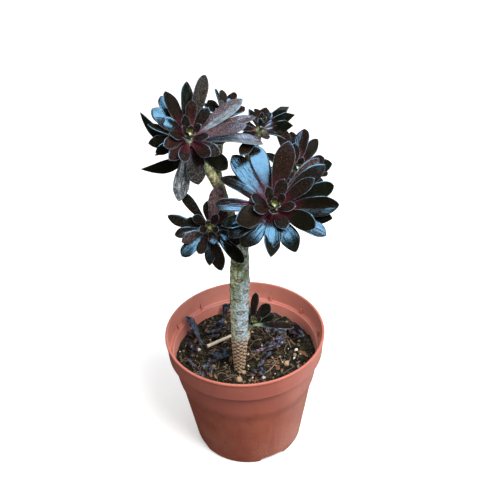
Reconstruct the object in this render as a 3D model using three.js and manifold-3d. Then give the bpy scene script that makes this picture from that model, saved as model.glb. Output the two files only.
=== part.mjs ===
// A potted tree aeonium: a branched succulent with near-black leaf rosettes,
// standing in potting soil in a 13 cm plastic nursery pot.
// Millimetres, +Z up. The origin is the centre of the pot's flat base.

import * as THREE from 'three';
import { mergeVertices } from 'three/addons/utils/BufferGeometryUtils.js';
import Module from 'manifold-3d';

const wasm = await Module();
wasm.setup();

// Driving dimensions

const GAP = 0.3; // clearance between two pieces that touch
const SLIVER = 0.02; // edges shorter than this are closed up after a join

const POT = {
  height: 109.3,
  sides: 48,
  wall: 1.3,
  floor: 1.8,
  baseRadius: 45.2,
  stepHeight: 60, // foot of the soft step half way up
  stepRise: 9,
  stepInner: 54.6,
  stepOuter: 57.4,
  bandHeight: 17.5, // of the straight collar under the rim
  underBandRadius: 60.4,
  bandRadius: 63.4,
  rimRadius: 65,
  lipHeight: 2.4,
  chamfer: 1.2, // round the foot
  round: 0.6, // of the lip's edges
};

const LUG = { count: 12, phase: 6.5, height: 6, depth: 2.4, width: 2, taper: 0.55, sunk: 0.5 };
const DRAIN = { count: 4, phase: -66, width: 23, height: 4.6, depth: 9, flat: 0.4, overrun: 4 };

// hole is the clearance round the buried stem, mouth how far its cutter stands up
const SOIL = { top: 83.3, sides: 40, rings: 9, bedding: 2.1, rimDrop: 2, hole: 0.9, mouth: 8 };

const TRUNK = {
  // from the buried root end to the fork
  path: [[-7, -17, 50], [-5.6, -16.8, 83], [-3.2, -16.3, 145], [-0.6, -16, 200], [0, -15.8, 213]],
  radii: [3.6, 5.3, 6.9, 7.6, 6],
  sides: 14,
  rings: 46,
  // leaf scars: relief everywhere, and more of it round one place near the foot
  scar: { relief: 0.12, extra: 0.34, at: 0.26, spread: 0.1 },
};

// Each branch runs from inside the trunk to the back of the head it carries
const BRANCHES = {
  front: { from: [[0, -16, 203], [8, -18, 218]], radius: 3.7 },
  side: { from: [[0, -14, 205], [12, -4, 222]], radius: 3.3 },
  left: { from: [[-1, -16, 204], [-8, -13, 234], [-23, -9, 269]], radius: 3.4 },
  rear: { from: [[0, -14, 207], [13, -3, 243], [12, 4, 258], [8, 9, 270]], radius: 3.2 },
  back: { from: [[-10, -12, 240], [-14, 1, 258]], radius: 2.8 },
  low: { from: [[-1, -16, 194], [-12, -15, 206]], radius: 2.9 },
  shoot: { from: [[-3, -15, 107], [2, -12.5, 112]], radius: 2.1 },
};
const BRANCH_SIDES = 8;
const BRANCH_FLARE = 0.25; // extra radius at the fork, as a share
const BRANCH_LEAD = 5; // straight run into the head
const NECK = 5; // bare stem tip between a branch's end and the lowest leaves
const CORE = { shoulder: 0.7, top: 0.6, tip: 2 }; // the head's core under the leaves

// The heads. azimuth is degrees right of the front, elevation degrees above level.
// A leaf is [turn, lean, length, width, roll, sweep]: turn goes round the head's axis from its
// right-hand side, lean is measured from the axis, roll twists the blade on its rib, and
// sweep carries its tip sideways, towards a greater turn.
const HEADS = {
  front: {
    centre: [24.2, -36, 248.5], azimuth: 10, elevation: 53, depth: 11, core: 4, bend: 26,
    leaves: [
      [95, 82, 46, 13.5], [118, 84, 46, 14.5], [138, 80, 42, 15], [170, 78, 40, 9.5],
      [195, 84, 37, 12], [205, 80, 37, 12], [223, 82, 34.5, 15], [256, 80, 36.5, 13],
      [285, 80, 34, 14], [320, 82, 40, 13], [340, 86, 40, 13], [349, 74, 45, 14],
      [10, 80, 44, 12], [30, 74, 46, 12], [38, 80, 48, 11], [69, 66, 46.5, 14.5],
      [199, 66, 33, 16], [318, 66, 34, 13], [20, 62, 34, 10], [258, 70, 30, 13],
      [155, 60, 18, 10],
    ],
    heart: { count: 11, start: 280, lean: 62, length: 22 },
  },
  side: {
    centre: [43.9, 12, 250], azimuth: 30, elevation: 55, depth: 10, core: 3.6, bend: 24,
    leaves: [
      [86, 74, 37, 12.5], [51, 76, 34.5, 12], [64, 86, 33, 9], [30, 80, 32.5, 10],
      [351, 84, 30, 10, 20], [0, 72, 24, 9], [124, 86, 24, 9], [340, 84, 26, 10],
      [310, 86, 24, 10], [275, 88, 22, 9], [240, 88, 20, 9], [200, 88, 20, 9],
      [160, 86, 20, 9],
    ],
    heart: { count: 8, start: 70, lean: 62, length: 20 },
  },
  left: {
    centre: [-31, -10, 292], azimuth: 20, elevation: 55, depth: 10, core: 4, bend: 24,
    leaves: [
      [60, 74, 46, 11], [77, 76, 40, 11], [102, 74, 35, 12.5], [104, 88, 37, 11],
      [121, 88, 32, 11], [171, 98, 27.5, 8, 0, -27], [151, 78, 28, 8], [142, 70, 26, 7],
      [70, 56, 25, 8], [137, 64, 22, 8], [18, 74, 45.5, 13], [1, 76, 47.5, 10],
      [341, 82, 51, 10.5], [346, 64, 40, 9], [315, 104, 33, 11.5], [270, 112, 28.5, 13.5],
      [284, 104, 19, 8], [246, 124, 39, 11.5], [234, 128, 26, 9.5, 0, -25], [194, 100, 23, 8, 45],
      [168, 90, 26, 9], [188, 86, 24, 8], [195, 64, 23, 9], [220, 74, 25, 9],
      [240, 72, 22, 9], [294, 72, 21, 9], [312, 76, 24, 9], [340, 82, 25.5, 8],
      [38, 62, 24, 8],
    ],
    heart: { count: 9, start: 181, lean: 52, length: 18 },
  },
  low: {
    centre: [-21, -28, 228], azimuth: 5, elevation: 36, depth: 8, core: 3.2, bend: 20,
    leaves: [
      [124, 84, 30.5, 7.5], [166, 86, 29.5, 8, 0, -4], [157, 80, 16.5, 7], [186, 84, 24.5, 8],
      [220, 82, 27.5, 10.5], [200, 76, 22, 8], [265, 84, 26, 7.5], [280, 82, 31, 10],
      [308, 82, 34, 9], [328, 80, 24, 9.5], [90, 70, 19, 8], [44, 76, 17, 10],
      [72, 66, 31, 11], [4, 82, 17, 9], [240, 74, 20, 8],
    ],
    heart: { count: 8, start: 140, lean: 62, length: 15 },
  },
  rear: {
    centre: [18.6, 12, 286.5], azimuth: 60, elevation: 72, depth: 7, core: 3, bend: 18,
    leaves: [
      [340, 62, 26.5, 9.5, 35], [326, 66, 27, 8.5, 35], [316, 77, 24, 9, 45], [350, 84, 22, 8],
      [18, 80, 23, 8], [36, 76, 19.5, 7.5], [100, 80, 17, 7], [135, 84, 17, 8],
      [165, 88, 16, 8], [186, 96, 31, 8.5], [250, 90, 9, 7], [290, 88, 18, 8],
    ],
    heart: { count: 8, start: 75, lean: 60, length: 15 },
  },
  back: {
    centre: [-6, 20, 293], azimuth: 60, elevation: 76, depth: 7, core: 3, bend: 16,
    leaves: [
      [97, 32, 19.5, 9], [45, 52, 19, 8], [16, 66, 22, 9], [132, 60, 18.5, 9],
      [78, 72, 17, 9], [25, 84, 22, 8], [180, 78, 20, 8], [225, 82, 16, 7],
      [270, 80, 12, 6], [337, 74, 17, 8], [115, 82, 18, 8],
    ],
    heart: { count: 6, start: 20, lean: 56, length: 14 },
  },
  shoot: {
    centre: [6.5, -10, 124], azimuth: 40, elevation: 60, depth: 4, core: 2.2, bend: 14,
    leaves: [
      [62, 42, 26, 7], [8, 46, 21, 9.5], [318, 76, 33, 8.5], [100, 42, 17, 6],
      [345, 68, 20, 7],
    ],
    heart: { count: 4, start: 200, lean: 40, length: 11 },
  },
};

const GOLDEN_ANGLE = 137.508;
const HEART = { tipLean: 12, tipLength: 7, widthShare: 0.44 };

// Leaf outline: share of the full width at each share of the length
const OUTLINE = { at: [0, 0.3, 0.55, 0.78, 0.93], width: [0.3, 0.45, 0.84, 1, 0.62] };
const YOUNG_OUTLINE = { at: [0, 0.45, 0.85], width: [0.3, 0.7, 0.85] };
const BLADE = { rootThickness: 2.4, tipThickness: 1.1, cup: 0.22, rootOut: 0.4, rollRate: 1.6 };

// Dried leaves on the soil: foot, heading in degrees from +X, then the blade.
// pitch is the slope at the foot, curl the slope gained and sweep the turn over the length.
const LITTER = [
  { x: -36, y: 11, heading: 118, length: 31, width: 7, pitch: 6, curl: 42, sweep: 8, roll: 30 },
  { x: -31, y: 3, heading: -40, length: 21, width: 7, pitch: 4, curl: 8, sweep: 20, roll: 20 },
  { x: -36, y: -16, heading: 8, length: 21, width: 8, pitch: 4, curl: 16, sweep: 30, roll: -25 },
  { x: -33, y: 27, heading: 20, length: 19, width: 8, pitch: 8, curl: 24, sweep: -30, roll: 35 },
  { x: -20, y: 41, heading: 45, length: 18, width: 8, pitch: 14, curl: 30, sweep: 20, roll: -30 },
  { x: 6, y: 0, heading: 8, length: 29, width: 7, pitch: 3, curl: 12, sweep: 16, roll: 30 },
  { x: 9, y: -17, heading: 30, length: 19, width: 6, pitch: 8, curl: -8, sweep: 24, roll: -35 },
  { x: 33, y: 35, heading: -42, length: 33, width: 8, pitch: 6, curl: 10, sweep: -44, roll: 40 },
  { x: -49, y: 14, heading: -78, length: 20, width: 8, pitch: 8, curl: 20, sweep: 30, roll: -40 },
  { x: 5, y: -24, heading: -35, length: 14, width: 7, pitch: 4, curl: 20, sweep: -30, roll: 20 },
];

const TWIG = { from: [-32, 8.5], to: [-10, 21.5], radius: 1.5, sides: 8 };

// Meshes and solids

const radians = THREE.MathUtils.degToRad;
const vector = (a) => new THREE.Vector3(...a);

function signedVolume(points, triangles) {
  const normal = new THREE.Vector3();
  let total = 0;
  for (let t = 0; t < triangles.length; t += 3) {
    const [a, b, c] = [0, 1, 2].map((k) => points[triangles[t + k]]);
    total += a.dot(normal.crossVectors(b, c));
  }
  return total;
}

function closedGeometry(points, triangles) {
  if (signedVolume(points, triangles) < 0) {
    triangles = triangles.slice().reverse();
  }
  const geometry = new THREE.BufferGeometry();
  geometry.setFromPoints(points);
  geometry.setIndex(triangles);
  return geometry;
}

function toSolid(geometry) {
  const bare = geometry.clone();
  bare.deleteAttribute('normal');
  bare.deleteAttribute('uv');
  const merged = mergeVertices(bare);
  const index = merged.index.array;
  const triVerts = [];
  for (let t = 0; t < index.length; t += 3) {
    const [a, b, c] = index.slice(t, t + 3);
    if (a !== b && b !== c && c !== a) {
      triVerts.push(a, b, c);
    }
  }
  return new wasm.Manifold(new wasm.Mesh({
    numProp: 3,
    vertProperties: new Float32Array(merged.attributes.position.array),
    triVerts: new Uint32Array(triVerts),
  }));
}

// Join solids into one body: a loose scrap is dropped and a sealed hollow is filled
function join(solids) {
  const whole = solids.reduce((sum, solid) => sum.add(solid)).simplify(SLIVER);
  return whole.decompose().reduce((best, body) => (body.volume() > best.volume() ? body : best));
}

function toGeometry(solid) {
  const mesh = solid.getMesh();
  const geometry = new THREE.BufferGeometry();
  const positions = new Float32Array(mesh.vertProperties);
  geometry.setAttribute('position', new THREE.BufferAttribute(positions, 3));
  geometry.setIndex(new THREE.BufferAttribute(new Uint32Array(mesh.triVerts), 1));
  geometry.computeVertexNormals();
  return geometry;
}

// A closed skin through rings of points, ended by a point at each end
function loft(rings, start, end) {
  const sides = rings[0].length;
  const points = [...rings.flat(), start, end];
  const triangles = [];
  const startIndex = points.length - 2;
  const endIndex = points.length - 1;
  const lastRing = (rings.length - 1) * sides;
  for (let i = 0; i < sides; i += 1) {
    const j = (i + 1) % sides;
    triangles.push(startIndex, j, i);
    triangles.push(endIndex, lastRing + i, lastRing + j);
    for (let k = 0; k < rings.length - 1; k += 1) {
      const low = k * sides;
      const high = low + sides;
      triangles.push(low + i, low + j, high + j);
      triangles.push(low + i, high + j, high + i);
    }
  }
  return closedGeometry(points, triangles);
}

// A round tube of changing radius along a smooth curve through the given points
function tube(path, radiusAt, sides, rings) {
  const curve = new THREE.CatmullRomCurve3(path.map(vector), false, 'centripetal');
  const frames = curve.computeFrenetFrames(rings - 1, false);
  const skin = [];
  for (let k = 0; k < rings; k += 1) {
    const centre = curve.getPointAt(k / (rings - 1));
    const ring = [];
    for (let i = 0; i < sides; i += 1) {
      const angle = (2 * Math.PI * i) / sides;
      const radius = radiusAt(k / (rings - 1), i, k);
      ring.push(centre.clone()
        .addScaledVector(frames.normals[k], radius * Math.cos(angle))
        .addScaledVector(frames.binormals[k], radius * Math.sin(angle)));
    }
    skin.push(ring);
  }
  return loft(skin, curve.getPointAt(0), curve.getPointAt(1));
}

function sample(list, share) {
  const place = share * (list.length - 1);
  const k = Math.min(Math.floor(place), list.length - 2);
  return THREE.MathUtils.lerp(list[k], list[k + 1], place - k);
}

// Pot

function potProfile() {
  const p = POT;
  const bandFoot = p.height - p.bandHeight;
  const lipFoot = p.height - p.lipHeight;
  const stepTop = p.stepHeight + p.stepRise;
  const outside = [
    [0, 0],
    [p.baseRadius - p.chamfer, 0],
    [p.baseRadius, p.chamfer],
    [p.stepInner, p.stepHeight],
    [p.stepOuter, stepTop],
    [p.underBandRadius, bandFoot - p.round],
    [p.bandRadius, bandFoot],
    [p.rimRadius - p.round, lipFoot],
    [p.rimRadius, lipFoot + p.round],
    [p.rimRadius, p.height - p.round],
    [p.rimRadius - p.round, p.height],
  ];
  const inside = [
    [p.rimRadius - p.wall - p.round, p.height],
    [p.bandRadius - p.wall, bandFoot + p.wall],
    [p.underBandRadius - p.wall, bandFoot + p.wall - p.round],
    [p.stepOuter - p.wall, stepTop],
    [p.stepInner - p.wall, p.stepHeight],
    [p.baseRadius - p.wall, p.floor + p.chamfer],
    [p.baseRadius - p.wall - p.chamfer, p.floor],
    [0, p.floor],
  ];
  return [...outside, ...inside].map(([radius, z]) => new THREE.Vector2(radius, z));
}

// A stacking lug: a small rib that stands on the inner ledge against the collar
function lug(angle) {
  const ledge = POT.height - POT.bandHeight;
  const wallRadius = POT.bandRadius - POT.wall + LUG.sunk;
  const side = new THREE.Shape();
  side.moveTo(wallRadius - LUG.depth, ledge);
  side.lineTo(wallRadius, ledge);
  side.lineTo(wallRadius, ledge + LUG.height);
  side.lineTo(wallRadius - LUG.depth * LUG.taper, ledge + LUG.height);
  const rib = new THREE.ExtrudeGeometry(side, { depth: LUG.width, bevelEnabled: false });
  rib.translate(0, 0, -LUG.width / 2);
  rib.rotateX(Math.PI / 2);
  rib.rotateZ(radians(angle));
  return toSolid(rib);
}

// A drain notch: a low arch through the corner of wall and floor
function drain(angle) {
  const half = DRAIN.width / 2;
  const crown = half * DRAIN.flat;
  const below = -1;
  const arch = new THREE.Shape();
  arch.moveTo(-half, below);
  arch.lineTo(half, below);
  arch.quadraticCurveTo(half, DRAIN.height, crown, DRAIN.height);
  arch.lineTo(-crown, DRAIN.height);
  arch.quadraticCurveTo(-half, DRAIN.height, -half, below);
  const cutter = new THREE.ExtrudeGeometry(arch, {
    depth: DRAIN.depth + DRAIN.overrun, bevelEnabled: false, curveSegments: 5,
  });
  cutter.rotateX(Math.PI / 2);
  cutter.rotateZ(Math.PI / 2);
  cutter.translate(POT.baseRadius - DRAIN.depth, 0, 0);
  cutter.rotateZ(radians(angle));
  return toSolid(cutter);
}

function potGeometry() {
  const body = new THREE.LatheGeometry(potProfile(), POT.sides);
  body.rotateX(Math.PI / 2);
  let solid = toSolid(body);
  for (let k = 0; k < LUG.count; k += 1) {
    solid = solid.add(lug(LUG.phase + (360 / LUG.count) * k));
  }
  for (let k = 0; k < DRAIN.count; k += 1) {
    solid = solid.subtract(drain(DRAIN.phase + (360 / DRAIN.count) * k));
  }
  return toGeometry(join([solid]));
}

// Soil

function soilHeight(x, y) {
  const clods = 0.9 * Math.sin(0.31 * x + 1.3) * Math.cos(0.27 * y - 0.4)
    + 0.6 * Math.sin(0.44 * x - 0.38 * y + 2);
  return SOIL.top + clods;
}

// Inner radius of the pot's wall at a height below its ledge
function potInside(z) {
  const stepTop = POT.stepHeight + POT.stepRise;
  const heights = [POT.floor + POT.chamfer, POT.stepHeight, stepTop, POT.height - POT.bandHeight];
  const radii = [POT.baseRadius, POT.stepInner, POT.stepOuter, POT.underBandRadius];
  let k = 0;
  while (k < heights.length - 2 && z > heights[k + 1]) {
    k += 1;
  }
  const share = (z - heights[k]) / (heights[k + 1] - heights[k]);
  return THREE.MathUtils.lerp(radii[k], radii[k + 1], share) - POT.wall;
}

// The plain hole that the trunk's buried foot stands in
function stemHole() {
  const foot = vector(TRUNK.path[0]);
  const collar = vector(TRUNK.path[1]);
  const down = foot.clone().sub(collar).normalize();
  const above = collar.clone().addScaledVector(down, -SOIL.mouth);
  const path = [foot.addScaledVector(down, SOIL.hole), collar, above].map((p) => p.toArray());
  const radiusAt = (share) => sample(TRUNK.radii.slice(0, 3), share) + SOIL.hole;
  return toSolid(tube(path, radiusAt, TRUNK.sides, 8));
}

function soilGeometry() {
  // the soil's facets line up with the pot's, and stay inside its flats
  const flats = Math.cos(Math.PI / SOIL.sides);
  const clearance = 1.1 * GAP;
  const edge = (z) => potInside(z) * flats - clearance;
  const ring = (radius, heightAt) => {
    const points = [];
    for (let i = 0; i < SOIL.sides; i += 1) {
      const angle = (2 * Math.PI * i) / SOIL.sides;
      const x = radius * Math.cos(angle);
      const y = radius * Math.sin(angle);
      points.push(new THREE.Vector3(x, y, heightAt(x, y)));
    }
    return points;
  };
  const rings = [];
  const rimZ = SOIL.top - SOIL.rimDrop;
  for (let k = 1; k <= SOIL.rings; k += 1) {
    rings.push(ring((edge(rimZ) * k) / SOIL.rings, soilHeight));
  }
  for (const z of [POT.stepHeight + POT.stepRise, POT.stepHeight, POT.floor + 2 * POT.chamfer]) {
    rings.push(ring(edge(z), () => z));
  }
  rings.push(ring(POT.baseRadius - POT.wall - 2 * POT.chamfer, () => SOIL.bedding));
  const body = toSolid(loft(
    rings,
    new THREE.Vector3(0, 0, soilHeight(0, 0)),
    new THREE.Vector3(0, 0, SOIL.bedding),
  ));
  return toGeometry(join([body.subtract(stemHole())]));
}

// Stem: the trunk with its leaf scars, the fork and the branches

// The scars are diamonds: every second facet corner stands out, most at the foot
function trunkGeometry() {
  const { scar } = TRUNK;
  const relief = (share) => scar.relief + scar.extra * Math.exp(-(((share - scar.at) / scar.spread) ** 2));
  const radiusAt = (share, i, k) => (
    sample(TRUNK.radii, share) + relief(share) * ((i + k) % 2 === 0 ? 1 : -1)
  );
  return tube(TRUNK.path, radiusAt, TRUNK.sides, TRUNK.rings);
}

function headAxis(head) {
  const azimuth = radians(head.azimuth);
  const elevation = radians(head.elevation);
  return new THREE.Vector3(
    Math.sin(azimuth) * Math.cos(elevation),
    -Math.cos(azimuth) * Math.cos(elevation),
    Math.sin(elevation),
  );
}

// The point on a head's axis where its neck meets the branch
function headFoot(head, back = 0) {
  return vector(head.centre).addScaledVector(headAxis(head), -(head.depth + NECK + back));
}

function branchGeometry(name) {
  const { from, radius } = BRANCHES[name];
  const head = HEADS[name];
  const lead = headFoot(head, GAP + BRANCH_LEAD).toArray();
  const end = headFoot(head, GAP).toArray();
  const flare = (share) => radius * (1 + BRANCH_FLARE * (1 - share) ** 3);
  const rings = 5 + 2 * from.length;
  return tube([...from, lead, end], flare, BRANCH_SIDES, rings);
}

function stemGeometry() {
  const pieces = [toSolid(trunkGeometry())];
  for (const name of Object.keys(BRANCHES)) {
    pieces.push(toSolid(branchGeometry(name)));
  }
  return toGeometry(join(pieces));
}

// Leaves and heads

// A blade: a thin cupped lens swept along its rib, with a pointed tip.
// ribAt(share) gives the rib's point and its along, face and side directions.
function blade(ribAt, length, width, outline) {
  const rings = outline.at.map((share, k) => {
    const { point, face, side } = ribAt(share);
    const half = 0.5 * width * outline.width[k];
    const thick = THREE.MathUtils.lerp(BLADE.rootThickness, BLADE.tipThickness, share);
    const lift = BLADE.cup * half * share;
    const edge = (sign) => point.clone().addScaledVector(side, sign * half).addScaledVector(face, lift);
    const middle = (sign) => point.clone().addScaledVector(face, (sign * thick) / 2);
    return [edge(1), middle(1), edge(-1), middle(-1)];
  });
  return loft(rings, ribAt(0).point, ribAt(1).point);
}

// The rib arcs in the plane of the head's axis and the leaf's own outward direction
function leafRib(head, [turn, lean, length, , roll = 0, sweep = 0]) {
  const axis = headAxis(head);
  const azimuth = radians(head.azimuth);
  const right = new THREE.Vector3(Math.cos(azimuth), Math.sin(azimuth), 0);
  const up = new THREE.Vector3().crossVectors(axis, right);
  const out = right.multiplyScalar(Math.cos(radians(turn))).addScaledVector(up, Math.sin(radians(turn)));
  const foot = vector(head.centre)
    .addScaledVector(axis, (-head.depth * lean) / 100)
    .addScaledVector(out, head.core * BLADE.rootOut);
  const sideways = new THREE.Vector3().crossVectors(axis, out);
  const first = radians(lean - head.bend / 2);
  const bend = radians(head.bend);
  const mix = (a, b) => axis.clone().multiplyScalar(a).addScaledVector(out, b);
  return (share) => {
    const slope = first + bend * share;
    const point = foot.clone().add(mix(
      (length / bend) * (Math.sin(slope) - Math.sin(first)),
      (length / bend) * (Math.cos(first) - Math.cos(slope)),
    )).addScaledVector(sideways, sweep * share ** 3);
    const along = mix(Math.cos(slope), Math.sin(slope))
      .addScaledVector(sideways, (3 * sweep * share ** 2) / length)
      .normalize();
    const twist = radians(roll) * Math.min(1, BLADE.rollRate * share);
    const face = mix(Math.sin(slope), -Math.cos(slope)).applyAxisAngle(along, twist);
    const side = new THREE.Vector3().crossVectors(face, along);
    return { point, face, side };
  };
}

// The young leaves in the middle follow the golden angle, steeper and shorter inwards
function heartLeaves({ count, start, lean, length }) {
  const leaves = [];
  for (let k = 0; k < count; k += 1) {
    const share = k / (count - 1);
    const size = THREE.MathUtils.lerp(length, HEART.tipLength, share);
    leaves.push([
      start + GOLDEN_ANGLE * k,
      THREE.MathUtils.lerp(lean, HEART.tipLean, share),
      size,
      size * HEART.widthShare,
    ]);
  }
  return leaves;
}

function headCore(head, neckRadius) {
  const axis = headAxis(head);
  const side = new THREE.Vector3(Math.cos(radians(head.azimuth)), Math.sin(radians(head.azimuth)), 0);
  const foot = headFoot(head);
  const reach = head.depth + NECK;
  const stations = [
    [0, neckRadius],
    [NECK, head.core],
    [reach * CORE.shoulder, head.core],
    [reach, head.core * CORE.top],
  ];
  const rings = stations.map(([rise, radius]) => {
    const ring = [];
    for (let i = 0; i < BRANCH_SIDES; i += 1) {
      const spoke = side.clone().applyAxisAngle(axis, (2 * Math.PI * i) / BRANCH_SIDES);
      ring.push(foot.clone().addScaledVector(axis, rise).addScaledVector(spoke, radius));
    }
    return ring;
  });
  return loft(rings, foot, foot.clone().addScaledVector(axis, reach + CORE.tip));
}

function headGeometry(name) {
  const head = HEADS[name];
  const solids = [toSolid(headCore(head, BRANCHES[name].radius))];
  for (const leaf of head.leaves) {
    solids.push(toSolid(blade(leafRib(head, leaf), leaf[2], leaf[3], OUTLINE)));
  }
  for (const leaf of heartLeaves(head.heart)) {
    solids.push(toSolid(blade(leafRib(head, leaf), leaf[2], leaf[3], YOUNG_OUTLINE)));
  }
  return toGeometry(join(solids));
}

// Litter on the soil

// Where each facet is tested against the soil: its corners, edge middles and centre
const REST_SAMPLES = [
  [1, 0, 0], [0, 1, 0], [0, 0, 1],
  [0.5, 0.5, 0], [0, 0.5, 0.5], [0.5, 0, 0.5],
  [1 / 3, 1 / 3, 1 / 3],
];

// Lower a geometry until its facets just clear the facets of the soil below them
function restOnSoil(geometry, soil) {
  const corners = geometry.toNonIndexed().attributes.position;
  const down = new THREE.Vector3(0, 0, -1);
  const high = 100;
  const probe = new THREE.Raycaster();
  const triangle = [new THREE.Vector3(), new THREE.Vector3(), new THREE.Vector3()];
  let clear = Infinity;
  for (let t = 0; t < corners.count; t += 3) {
    triangle.forEach((corner, k) => corner.fromBufferAttribute(corners, t + k));
    for (const weights of REST_SAMPLES) {
      const point = new THREE.Vector3();
      triangle.forEach((corner, k) => point.addScaledVector(corner, weights[k]));
      probe.set(new THREE.Vector3(point.x, point.y, point.z + high), down);
      const [hit] = probe.intersectObject(soil);
      if (hit) {
        clear = Math.min(clear, hit.distance - high);
      }
    }
  }
  geometry.translate(0, 0, GAP - clear);
  geometry.computeVertexNormals();
  return geometry;
}

function driedLeafGeometry({ x, y, heading, length, width, pitch, curl, sweep, roll }) {
  const steps = 24;
  const points = [new THREE.Vector3(x, y, SOIL.top)];
  const directionAt = (share) => {
    const turn = radians(heading + sweep * share);
    const slope = radians(pitch + curl * share);
    return new THREE.Vector3(
      Math.cos(turn) * Math.cos(slope),
      Math.sin(turn) * Math.cos(slope),
      Math.sin(slope),
    );
  };
  for (let k = 1; k <= steps; k += 1) {
    points.push(points[k - 1].clone().addScaledVector(directionAt(k / steps), length / steps));
  }
  const up = new THREE.Vector3(0, 0, 1);
  const ribAt = (share) => {
    const along = directionAt(share);
    const level = new THREE.Vector3().crossVectors(up, along).normalize();
    const side = level.applyAxisAngle(along, radians(roll) * Math.sin(Math.PI * share));
    const face = new THREE.Vector3().crossVectors(along, side);
    return { point: points[Math.round(share * steps)], face, side };
  };
  return blade(ribAt, length, width, OUTLINE);
}

function twigGeometry() {
  const path = [[...TWIG.from, SOIL.top], [...TWIG.to, SOIL.top]];
  const radiusAt = (share) => TWIG.radius * (1 - 0.15 * share);
  return tube(path, radiusAt, TWIG.sides, 4);
}

// Materials

function finish(color, roughness) {
  return new THREE.MeshStandardMaterial({ color, roughness, metalness: 0 });
}

const MATERIALS = {
  plastic: finish(0xa5583f, 0.5),
  soil: finish(0x3a2a20, 0.95),
  bark: finish(0x8f9a86, 0.8),
  leaf: finish(0x2b1318, 0.3),
  driedLeaf: finish(0x4a3a48, 0.7),
  twig: finish(0xbfae90, 0.8),
};

// Assembly

const plant = new THREE.Group();

function place(name, geometry, material) {
  const mesh = new THREE.Mesh(geometry, material);
  mesh.name = name;
  plant.add(mesh);
  return mesh;
}

place('pot', potGeometry(), MATERIALS.plastic);
const soil = place('soil', soilGeometry(), MATERIALS.soil);
place('stem', stemGeometry(), MATERIALS.bark);
for (const name of Object.keys(HEADS)) {
  place(`rosette_${name}`, headGeometry(name), MATERIALS.leaf);
}
LITTER.forEach((leaf, k) => {
  place(`dried_leaf_${k + 1}`, restOnSoil(driedLeafGeometry(leaf), soil), MATERIALS.driedLeaf);
});
place('twig', restOnSoil(twigGeometry(), soil), MATERIALS.twig);

export default plant;
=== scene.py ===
"""A potted tree aeonium: a branched succulent with near-black leaf rosettes in a plastic nursery pot."""

import math

import bmesh
import bpy
import numpy as np
from mathutils import Matrix

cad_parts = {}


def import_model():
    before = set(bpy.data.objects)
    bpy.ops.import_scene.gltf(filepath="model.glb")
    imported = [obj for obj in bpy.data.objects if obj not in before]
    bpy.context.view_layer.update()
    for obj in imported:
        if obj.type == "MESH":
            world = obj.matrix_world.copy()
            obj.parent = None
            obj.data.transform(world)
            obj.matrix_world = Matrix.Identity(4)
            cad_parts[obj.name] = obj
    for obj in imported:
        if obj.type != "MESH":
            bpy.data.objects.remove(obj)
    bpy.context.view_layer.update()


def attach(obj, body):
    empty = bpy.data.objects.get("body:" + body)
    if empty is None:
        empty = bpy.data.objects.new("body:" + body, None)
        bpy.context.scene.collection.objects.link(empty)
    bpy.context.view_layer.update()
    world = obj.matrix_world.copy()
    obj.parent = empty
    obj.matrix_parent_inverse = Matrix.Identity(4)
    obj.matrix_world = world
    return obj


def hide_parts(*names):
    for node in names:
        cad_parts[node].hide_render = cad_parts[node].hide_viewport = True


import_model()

MM = 0.001  # lengths below are in millimetres, and meshes are in metres

# Camera: its place, how far it is turned, tilted and rolled in degrees, and its lens

CAMERA = dict(
    at=(0, -501.72, 533.85), turn=0.028, tilt=56.134, roll=-2.779, lens=60, sensor=36, clip=(0.01, 50),
)

# Driving dimensions of the construction

POT = dict(
    height=109.3, wall=1.3, floor=1.8, base=45.2, step_height=60, step_rise=9, step_inner=54.6,
    step_outer=57.4, band=17.5, under_band=60.4, band_radius=63.4, rim=65, lip=2.4, chamfer=1.2, round=0.6,
)
POT_SIDES = 216
LUG = dict(count=12, phase=6.5, height=6, depth=2.4, width=2, taper=0.55, sunk=0.5)
DRAIN = dict(count=4, phase=-66, width=23, height=4.6, depth=9, flat=0.4, below=1, overrun=4, points=9)
SOIL = dict(top=83.3, bedding=2.1, rings=110, sides=300)
GAP = 0.3

TRUNK = dict(
    path=((-7, -17, 50), (-5.6, -16.8, 83), (-3.2, -16.3, 145), (-0.6, -16, 200), (0, -15.8, 213)),
    radii=(3.6, 5.3, 6.9, 7.6, 6),
)

# Each branch runs from inside the trunk to the back of the head it carries
BRANCHES = {
    "front": dict(path=((0, -16, 203), (8, -18, 218)), radius=3.7),
    "side": dict(path=((0, -14, 205), (12, -4, 222)), radius=3.3),
    "left": dict(path=((-1, -16, 204), (-8, -13, 234), (-23, -9, 269)), radius=3.4),
    "rear": dict(path=((0, -14, 207), (13, -3, 243), (12, 4, 258), (8, 9, 270)), radius=3.2),
    "back": dict(path=((-10, -12, 240), (-14, 1, 258)), radius=2.8),
    "low": dict(path=((-1, -16, 194), (-12, -15, 206)), radius=2.9),
    "shoot": dict(path=((-3, -15, 107), (2, -12.5, 112)), radius=2.1),
}
BRANCH_FLARE = 0.25
BRANCH_LEAD = 5
NECK = 5

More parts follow.
